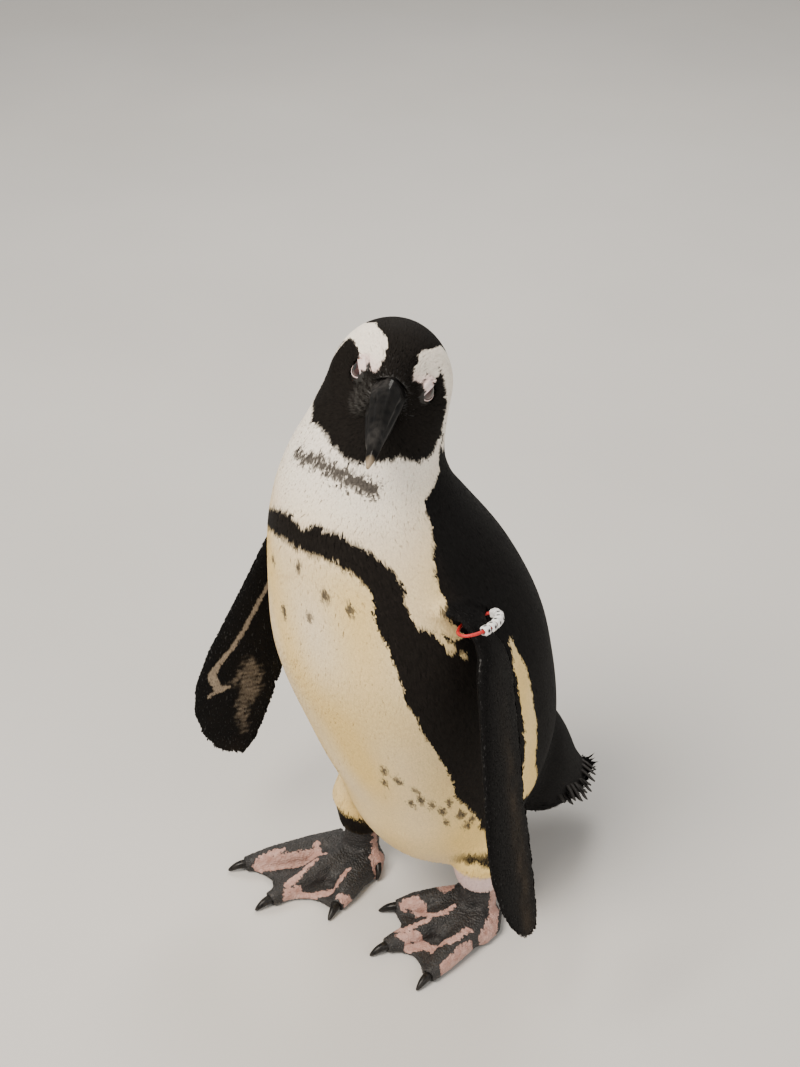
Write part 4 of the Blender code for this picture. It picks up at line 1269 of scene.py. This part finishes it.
def grain_group():
    """Fine grain by a piece's own place: its scale, its detail and how far it is stretched sideways."""
    inputs = {"Scale": 400.0, "Detail": 3.0, "Across": 1.0}
    made, given, out = new_group("grain", inputs, {"Grain": "NodeSocketFloat"})
    where = node(made, "ShaderNodeTexCoord")
    stretch = node(made, "ShaderNodeCombineXYZ", Y=1.0, Z=1.0)
    fit = node(made, "ShaderNodeVectorMath", operation="MULTIPLY")
    noise = node(made, "ShaderNodeTexNoise")
    for source, target in (
        (given.outputs["Across"], stretch.inputs["X"]),
        (where.outputs["Object"], fit.inputs[0]),
        (stretch.outputs[0], fit.inputs[1]),
        (fit.outputs[0], noise.inputs["Vector"]),
        (given.outputs["Scale"], noise.inputs["Scale"]),
        (given.outputs["Detail"], noise.inputs["Detail"]),
        (noise.outputs["Fac"], out.inputs["Grain"]),
    ):
        made.links.new(source, target)


def placed(tree, group, **values):
    """A node group set into a material or another group, with its own values."""
    made = node(tree, "ShaderNodeGroup", node_tree=bpy.data.node_groups[group])
    for label, value in values.items():
        made.inputs[label].default_value = value
    return made


def object_noise(tree, scale, detail=3.0, across=1.0):
    return placed(tree, "grain", Scale=scale, Detail=detail, Across=across).outputs["Grain"]


def ramp(tree, source, stops):
    """A colour ramp of (place, colour) stops."""
    made = node(tree, "ShaderNodeValToRGB")
    keys = made.color_ramp.elements
    for i, (place, colour) in enumerate(stops):
        key = keys[i] if i < 2 else keys.new(place)
        key.position, key.color = place, (*colour, 1.0)
    tree.links.new(source, made.inputs["Fac"])
    return made.outputs["Color"]


def mix(tree, share, first, second, kind="MIX"):
    """Mixes two colours, each a socket or a plain colour, by a socket or a number."""
    made = node(tree, "ShaderNodeMix", data_type="RGBA", blend_type=kind)
    for socket, value in ((made.inputs[0], share), (made.inputs[6], first), (made.inputs[7], second)):
        if isinstance(value, bpy.types.NodeSocket):
            tree.links.new(value, socket)
        else:
            socket.default_value = value if isinstance(value, float) else (*value, 1.0)
    return made.outputs[2]


def range_of(tree, source, low, high, to_low=0.0, to_high=1.0):
    made = node(tree, "ShaderNodeMapRange")
    for name, value in (("From Min", low), ("From Max", high), ("To Min", to_low), ("To Max", to_high)):
        made.inputs[name].default_value = value
    tree.links.new(source, made.inputs["Value"])
    return made.outputs["Result"]


def maths(tree, operation, *values):
    """A math node on sockets and numbers."""
    made = node(tree, "ShaderNodeMath", operation=operation)
    for socket, value in zip(made.inputs, values):
        if isinstance(value, float):
            socket.default_value = value
        else:
            tree.links.new(value, socket)
    return made.outputs[0]


def finish(made, colour, grain=None, rough=None, relief=None, height=None):
    """Gives a material its colour, a roughness from the grain, and a relief of this strength and depth."""
    tree = made.node_tree
    shader = tree.nodes["Principled BSDF"]
    tree.links.new(colour, shader.inputs["Base Color"])
    if rough:
        tree.links.new(range_of(tree, grain, 0.3, 0.7, *rough), shader.inputs["Roughness"])
    if relief:
        bump = node(tree, "ShaderNodeBump", Strength=relief[0], Distance=relief[1])
        tree.links.new(height or grain, bump.inputs["Height"])
        tree.links.new(bump.outputs["Normal"], shader.inputs["Normal"])
    return made


def barbs_group():
    """Plumage from barb to barb: a soft light and dark over the tint, and a gloss that wanders with it."""
    outputs = {"Light": "NodeSocketColor", "Gloss": "NodeSocketFloat"}
    made, given, out = new_group("barbs", {"Fineness": 900.0, "Rough": 0.6}, outputs)
    grain = placed(made, "grain", Detail=2.0)
    made.links.new(given.outputs["Fineness"], grain.inputs["Scale"])
    speck = grain.outputs["Grain"]
    light = ramp(made, speck, [(0.30, (0.92, 0.92, 0.92)), (0.70, (1.06, 1.055, 1.05))])
    gloss = maths(made, "ADD", range_of(made, speck, 0.3, 0.7, -0.05, 0.07), given.outputs["Rough"])
    made.links.new(light, out.inputs["Light"])
    made.links.new(gloss, out.inputs["Gloss"])


def plumage_look(name, rough, shine):
    """Vanes in their own tint, a little uneven from barb to barb."""
    made, tree = new_material(name, Roughness=rough, Specular_IOR_Level=shine)
    barbs = placed(tree, "barbs", Rough=rough)
    tree.links.new(barbs.outputs["Gloss"], tree.nodes["Principled BSDF"].inputs["Roughness"])
    tint = attribute(tree, "tint", "Color")
    return finish(made, mix(tree, 1.0, tint, barbs.outputs["Light"], "MULTIPLY"))


def foot_group():
    """Pink blotches with sharp wandering edges on slate black skin, and the fine grain under both."""
    outputs = {"Colour": "NodeSocketColor", "Grain": "NodeSocketFloat"}
    made, given, out = new_group("foot_pattern", {"Pink": 0.0}, outputs)
    fine = object_noise(made, 420.0, 4.0)
    inside = maths(made, "ADD", given.outputs["Pink"], maths(made, "MULTIPLY_ADD", fine, 3.2, -1.6))
    slate = [(0.3, (0.007, 0.0065, 0.0065)), (0.7, (0.026, 0.023, 0.022))]
    slate = ramp(made, object_noise(made, 160.0), slate)
    rosy = ramp(made, object_noise(made, 240.0), [(0.3, (0.36, 0.19, 0.15)), (0.7, (0.52, 0.33, 0.28))])
    made.links.new(mix(made, range_of(made, inside, -0.25, 0.25), slate, rosy), out.inputs["Colour"])
    made.links.new(fine, out.inputs["Grain"])


def foot_colour(tree):
    feet = placed(tree, "foot_pattern")
    tree.links.new(attribute(tree, "pink"), feet.inputs["Pink"])
    return feet.outputs["Colour"], feet.outputs["Grain"]


def skin_look():
    """The skin under the coat in its tint, the coat's colour darkened as painted shade, and the bare feet in
    slate and pink.
    """
    made, tree = new_material("skin_and_feet", Roughness=0.6)
    feet, fine = foot_colour(tree)
    colour = mix(tree, attribute(tree, "bare"), attribute(tree, "tint", "Color"), feet)
    return finish(made, colour, fine, (0.48, 0.68), (0.5, 0.0006), object_noise(tree, 700.0, 4.0))


def scale_look():
    made, tree = new_material("foot_scale_horn", Roughness=0.5)
    feet, fine = foot_colour(tree)
    return finish(made, feet, fine, (0.42, 0.60))


def bill_look():
    """Black horn with a grey band of wear near the tip, a cream hook, grey near the base on its right side,
    and painted shade in the groove, crease and nostril.
    """
    made, tree = new_material(
        "bill_horn_polished", Roughness=0.4, Specular_IOR_Level=0.02, Coat_Weight=0.2, Coat_Roughness=0.05
    )
    forward = attribute(tree, "forward")
    grain = object_noise(tree, 260.0, 5.0)
    black = ramp(tree, grain, [(0.35, (0.0030, 0.0030, 0.0031)), (0.68, (0.010, 0.0092, 0.0086))])
    wear_and_sheen = ramp(tree, grain, [(0.35, (0.013, 0.0125, 0.0125)), (0.7, (0.048, 0.045, 0.043))])
    stops = [(0.0, (0, 0, 0)), (0.5, (0.65, 0.65, 0.65)), (0.8, (0.4, 0.4, 0.4)), (1.0, (0, 0, 0))]
    band = ramp(tree, range_of(tree, forward, 50.0, 69.0), stops)
    cream = ramp(tree, range_of(tree, forward, 70.5, 74.0), [(0.0, (0, 0, 0)), (1.0, (1, 1, 1))])
    # Grey near the base on the bill's right side: partly striated horn and partly painted reflection.
    base = maths(tree, "MULTIPLY", range_of(tree, forward, 34.0, 20.0, 0.0, 0.8), attribute(tree, "right"))
    colour = mix(tree, base, black, wear_and_sheen)
    colour = mix(tree, band, colour, wear_and_sheen)
    colour = mix(tree, cream, colour, (0.36, 0.28, 0.19))
    # Painted shade: the groove, the side crease and the nostril slit darken nearly to black.
    hollow_shade = range_of(tree, attribute(tree, "hollow_shade"), 0.5, 1.2)
    colour = mix(tree, hollow_shade, colour, (0.003, 0.003, 0.003))
    return finish(made, colour, grain, (0.34, 0.5), (0.25, 0.0003))


def eye_look():
    """A black pupil in a dark maroon iris with fine spokes, under a clear wet coat."""
    made, tree = new_material("eye_wet", Roughness=0.2, Coat_Weight=0.7, Coat_Roughness=0.06)
    away = attribute(tree, "from_pupil")
    stops = [(0.35, (0.020, 0.006, 0.006)), (0.7, (0.055, 0.018, 0.015))]
    iris = ramp(tree, object_noise(tree, 1400.0), stops)
    colour = mix(tree, range_of(tree, away, 15.0, 18.0), (0.002, 0.002, 0.002), iris)
    return finish(made, mix(tree, range_of(tree, away, 36.0, 42.0), colour, (0.010, 0.005, 0.005)))


def lid_look():
    """A bare pinkish-white rim, darker where it meets the eye, in a skirt of the face's own tint."""
    made, tree = new_material("lid_flesh", Roughness=0.6, Specular_IOR_Level=0.1, Subsurface_Weight=0.1)
    rim = attribute(tree, "from_rim")
    stops = [(0.3, (0.62, 0.44, 0.43)), (0.7, (0.80, 0.66, 0.64))]
    flesh = ramp(tree, object_noise(tree, 500.0, 4.0), stops)
    colour = mix(tree, range_of(tree, rim, 0.22, 0.32), flesh, attribute(tree, "tint", "Color"))
    colour = mix(tree, range_of(tree, rim, 0.05, 0.0), colour, (0.05, 0.02, 0.02))
    return finish(made, colour, relief=(0.4, 0.0003), height=object_noise(tree, 1100.0))


def grained_look(name, noise, stops, rough, relief, wear_and_sheen=None, **values):
    """A finish whose tone and gloss wander with a grain, and which may pale towards its tip with wear.

    The paling argument gives where along the piece the paling starts, its share at the tip and its colour; on
    claws and tail vanes that paling is wear.
    """
    made, tree = new_material(name, **values)
    grain = object_noise(tree, *noise)
    colour = ramp(tree, grain, stops)
    if wear_and_sheen:
        start, share, pale = wear_and_sheen
        colour = mix(tree, range_of(tree, attribute(tree, "along"), start, 1.0, 0.0, share), colour, pale)
    return finish(made, colour, grain, rough, relief)


def claw_look():
    stops = [(0.35, (0.006, 0.0055, 0.0055)), (0.7, (0.022, 0.020, 0.018))]
    wear_and_sheen = (0.8, 0.5, (0.05, 0.045, 0.04))
    values = {"Roughness": 0.3, "Specular_IOR_Level": 0.15, "Coat_Weight": 0.1, "Coat_Roughness": 0.2}
    return grained_look("claw_horn_black", (380.0, 4.0), stops, (0.24, 0.42), (0.3, 0.0004), wear_and_sheen, **values)


def feather_look():
    """Stiff black tail vanes with slanting barbs."""
    stops = [(0.3, (0.004, 0.0036, 0.0036)), (0.7, (0.012, 0.010, 0.009))]
    wear_and_sheen = (0.85, 0.25, (0.03, 0.024, 0.020))
    values = {"Roughness": 0.5, "Specular_IOR_Level": 0.15}
    return grained_look("tail_vane", (500.0, 4.0, 3.0), stops, (0.42, 0.62), (0.4, 0.0004), wear_and_sheen, **values)


def plain_look(name, colour, other, rough, scale):
    """A moulded or woven finish between two colours."""
    stops, gloss = [(0.35, colour), (0.7, other)], (rough - 0.07, rough + 0.07)
    return grained_look(name, (scale, 3.0), stops, gloss, (0.2, 0.0003), Roughness=rough)


# ---------------------------------------------------------------- stage


# In metres, watts and degrees, as Blender takes them; only the floor is in millimetres
CAMERA_PLACE, CAMERA_TURN = (0.7055, -0.5724, 0.8814), (57.0, 0.0, 54.0)
SENSOR_HEIGHT, FOCAL_LENGTH = 36.0, 60.73
FLOOR_SIDE = 12000.0
LIGHT_TARGET = (0.0, 0.0, 0.25)
# Name, place, size, power and colour
LIGHTS = (
    ("key", (0.1, -1.1, 1.7), 1.0, 50.0, (1.0, 0.92, 0.82)),
    ("fill", (1.6, 0.1, 0.9), 1.4, 10.0, (1.0, 0.96, 0.91)),
    ("rim", (-1.0, 0.9, 1.5), 0.9, 18.0, (1.0, 0.96, 0.90)),
)
WORLD_COLOUR, WORLD_STRENGTH = (0.86, 0.84, 0.81, 1.0), 0.6


def soft_light(name, place, size, power, colour):
    """A round soft light that points at the middle of the bird."""
    lamp = bpy.data.lights.new(name, "AREA")
    lamp.shape, lamp.size, lamp.energy, lamp.color = "DISK", size, power, colour
    made = linked(name, lamp)
    made.location = place
    made.rotation_euler = (Vector(LIGHT_TARGET) - Vector(place)).to_track_quat("-Z", "Y").to_euler()


def stage():
    """A plain pale floor, soft light from above and both sides, and a pale world."""
    half = FLOOR_SIDE / 2
    corners = table((-half, -half, 0), (half, -half, 0), (half, half, 0), (-half, half, 0))
    floor = put_mesh("floor", corners, [(0, 1, 2, 3)], smooth=False)
    made, tree = new_material("floor_pale", Roughness=0.9)
    stops = [(0.3, (0.60, 0.585, 0.56)), (0.7, (0.64, 0.625, 0.60))]
    floor.data.materials.append(finish(made, ramp(tree, object_noise(tree, 3.0), stops)))
    for row in LIGHTS:
        soft_light(*row)
    world = bpy.data.worlds.new("studio")
    world.use_nodes = True
    air = world.node_tree.nodes["Background"].inputs
    air["Color"].default_value, air["Strength"].default_value = WORLD_COLOUR, WORLD_STRENGTH
    bpy.context.scene.world = world


def camera():
    """The camera above the bird's left front."""
    lens = bpy.data.cameras.new("camera")
    lens.sensor_fit, lens.sensor_height = "VERTICAL", SENSOR_HEIGHT
    lens.sensor_width = SENSOR_HEIGHT * 800 / 1067
    lens.lens = FOCAL_LENGTH
    made = linked("camera", lens)
    made.location = CAMERA_PLACE
    made.rotation_euler = np.radians(CAMERA_TURN)
    bpy.context.scene.camera = made


def all_looks():
    for build in (grain_group, barbs_group, foot_group):
        build()
    return {
        "plumage": plumage_look("plumage", 0.75, 0.08),
        "flipper": plumage_look("flipper_plumage", 0.60, 0.06),
        "skin": skin_look(),
        "scale": scale_look(),
        "bill": bill_look(),
        "claw": claw_look(),
        "eye": eye_look(),
        "lid": lid_look(),
        "feather": feather_look(),
        "elastic": plain_look("elastic_red", (0.42, 0.010, 0.012), (0.62, 0.025, 0.022), 0.55, 900.0),
        "dot": plain_look("bead_dot", (0.015, 0.014, 0.016), (0.030, 0.028, 0.032), 0.35, 300.0),
        "bead": plain_look("bead_white", (0.80, 0.80, 0.78), (0.86, 0.86, 0.84), 0.25, 300.0),
    }


def main():
    looks = all_looks()
    camera()
    stage()
    points, tris, shares = shaped_skin()
    points, tris = thinned(points, tris, shares)
    shares = region_shares(points, edges_of(tris))
    skin = put_mesh("skin", points, tris=tris)
    points, tris = arrays_of(skin.data)
    maps = unwrapped(skin)
    normals = normals_of(points, tris)
    # The skin's tint is the coat's colour at 0.85: painted shade beneath the vanes.
    put_tint(skin, plumage(points, normals, shares, np.zeros(len(points))) * 0.85)
    put_value(skin, "bare", ease(share_of(shares, "foot_left", "foot_right"), 0.45, 0.6))
    put_value(skin, "pink", foot_pink(points))
    own(skin, "body_plumage", looks["skin"], *FLESH)
    print("skin", len(tris), "triangles")
    dress(points, tris, shares, maps, looks)
    foot_scales(points, tris, shares, maps, looks["scale"])
    for side in SIDES:
        eyeball(side, looks["eye"])
        lids(side, looks["lid"])
        for toe in ("inner", "middle", "outer", "hind"):
            claw_horn(f"claw_{toe}_{side}", looks["claw"])
    upper_bill(looks["bill"])
    lower_bill(looks["bill"])
    tail_feathers(looks["feather"])
    band_pieces(looks)


main()
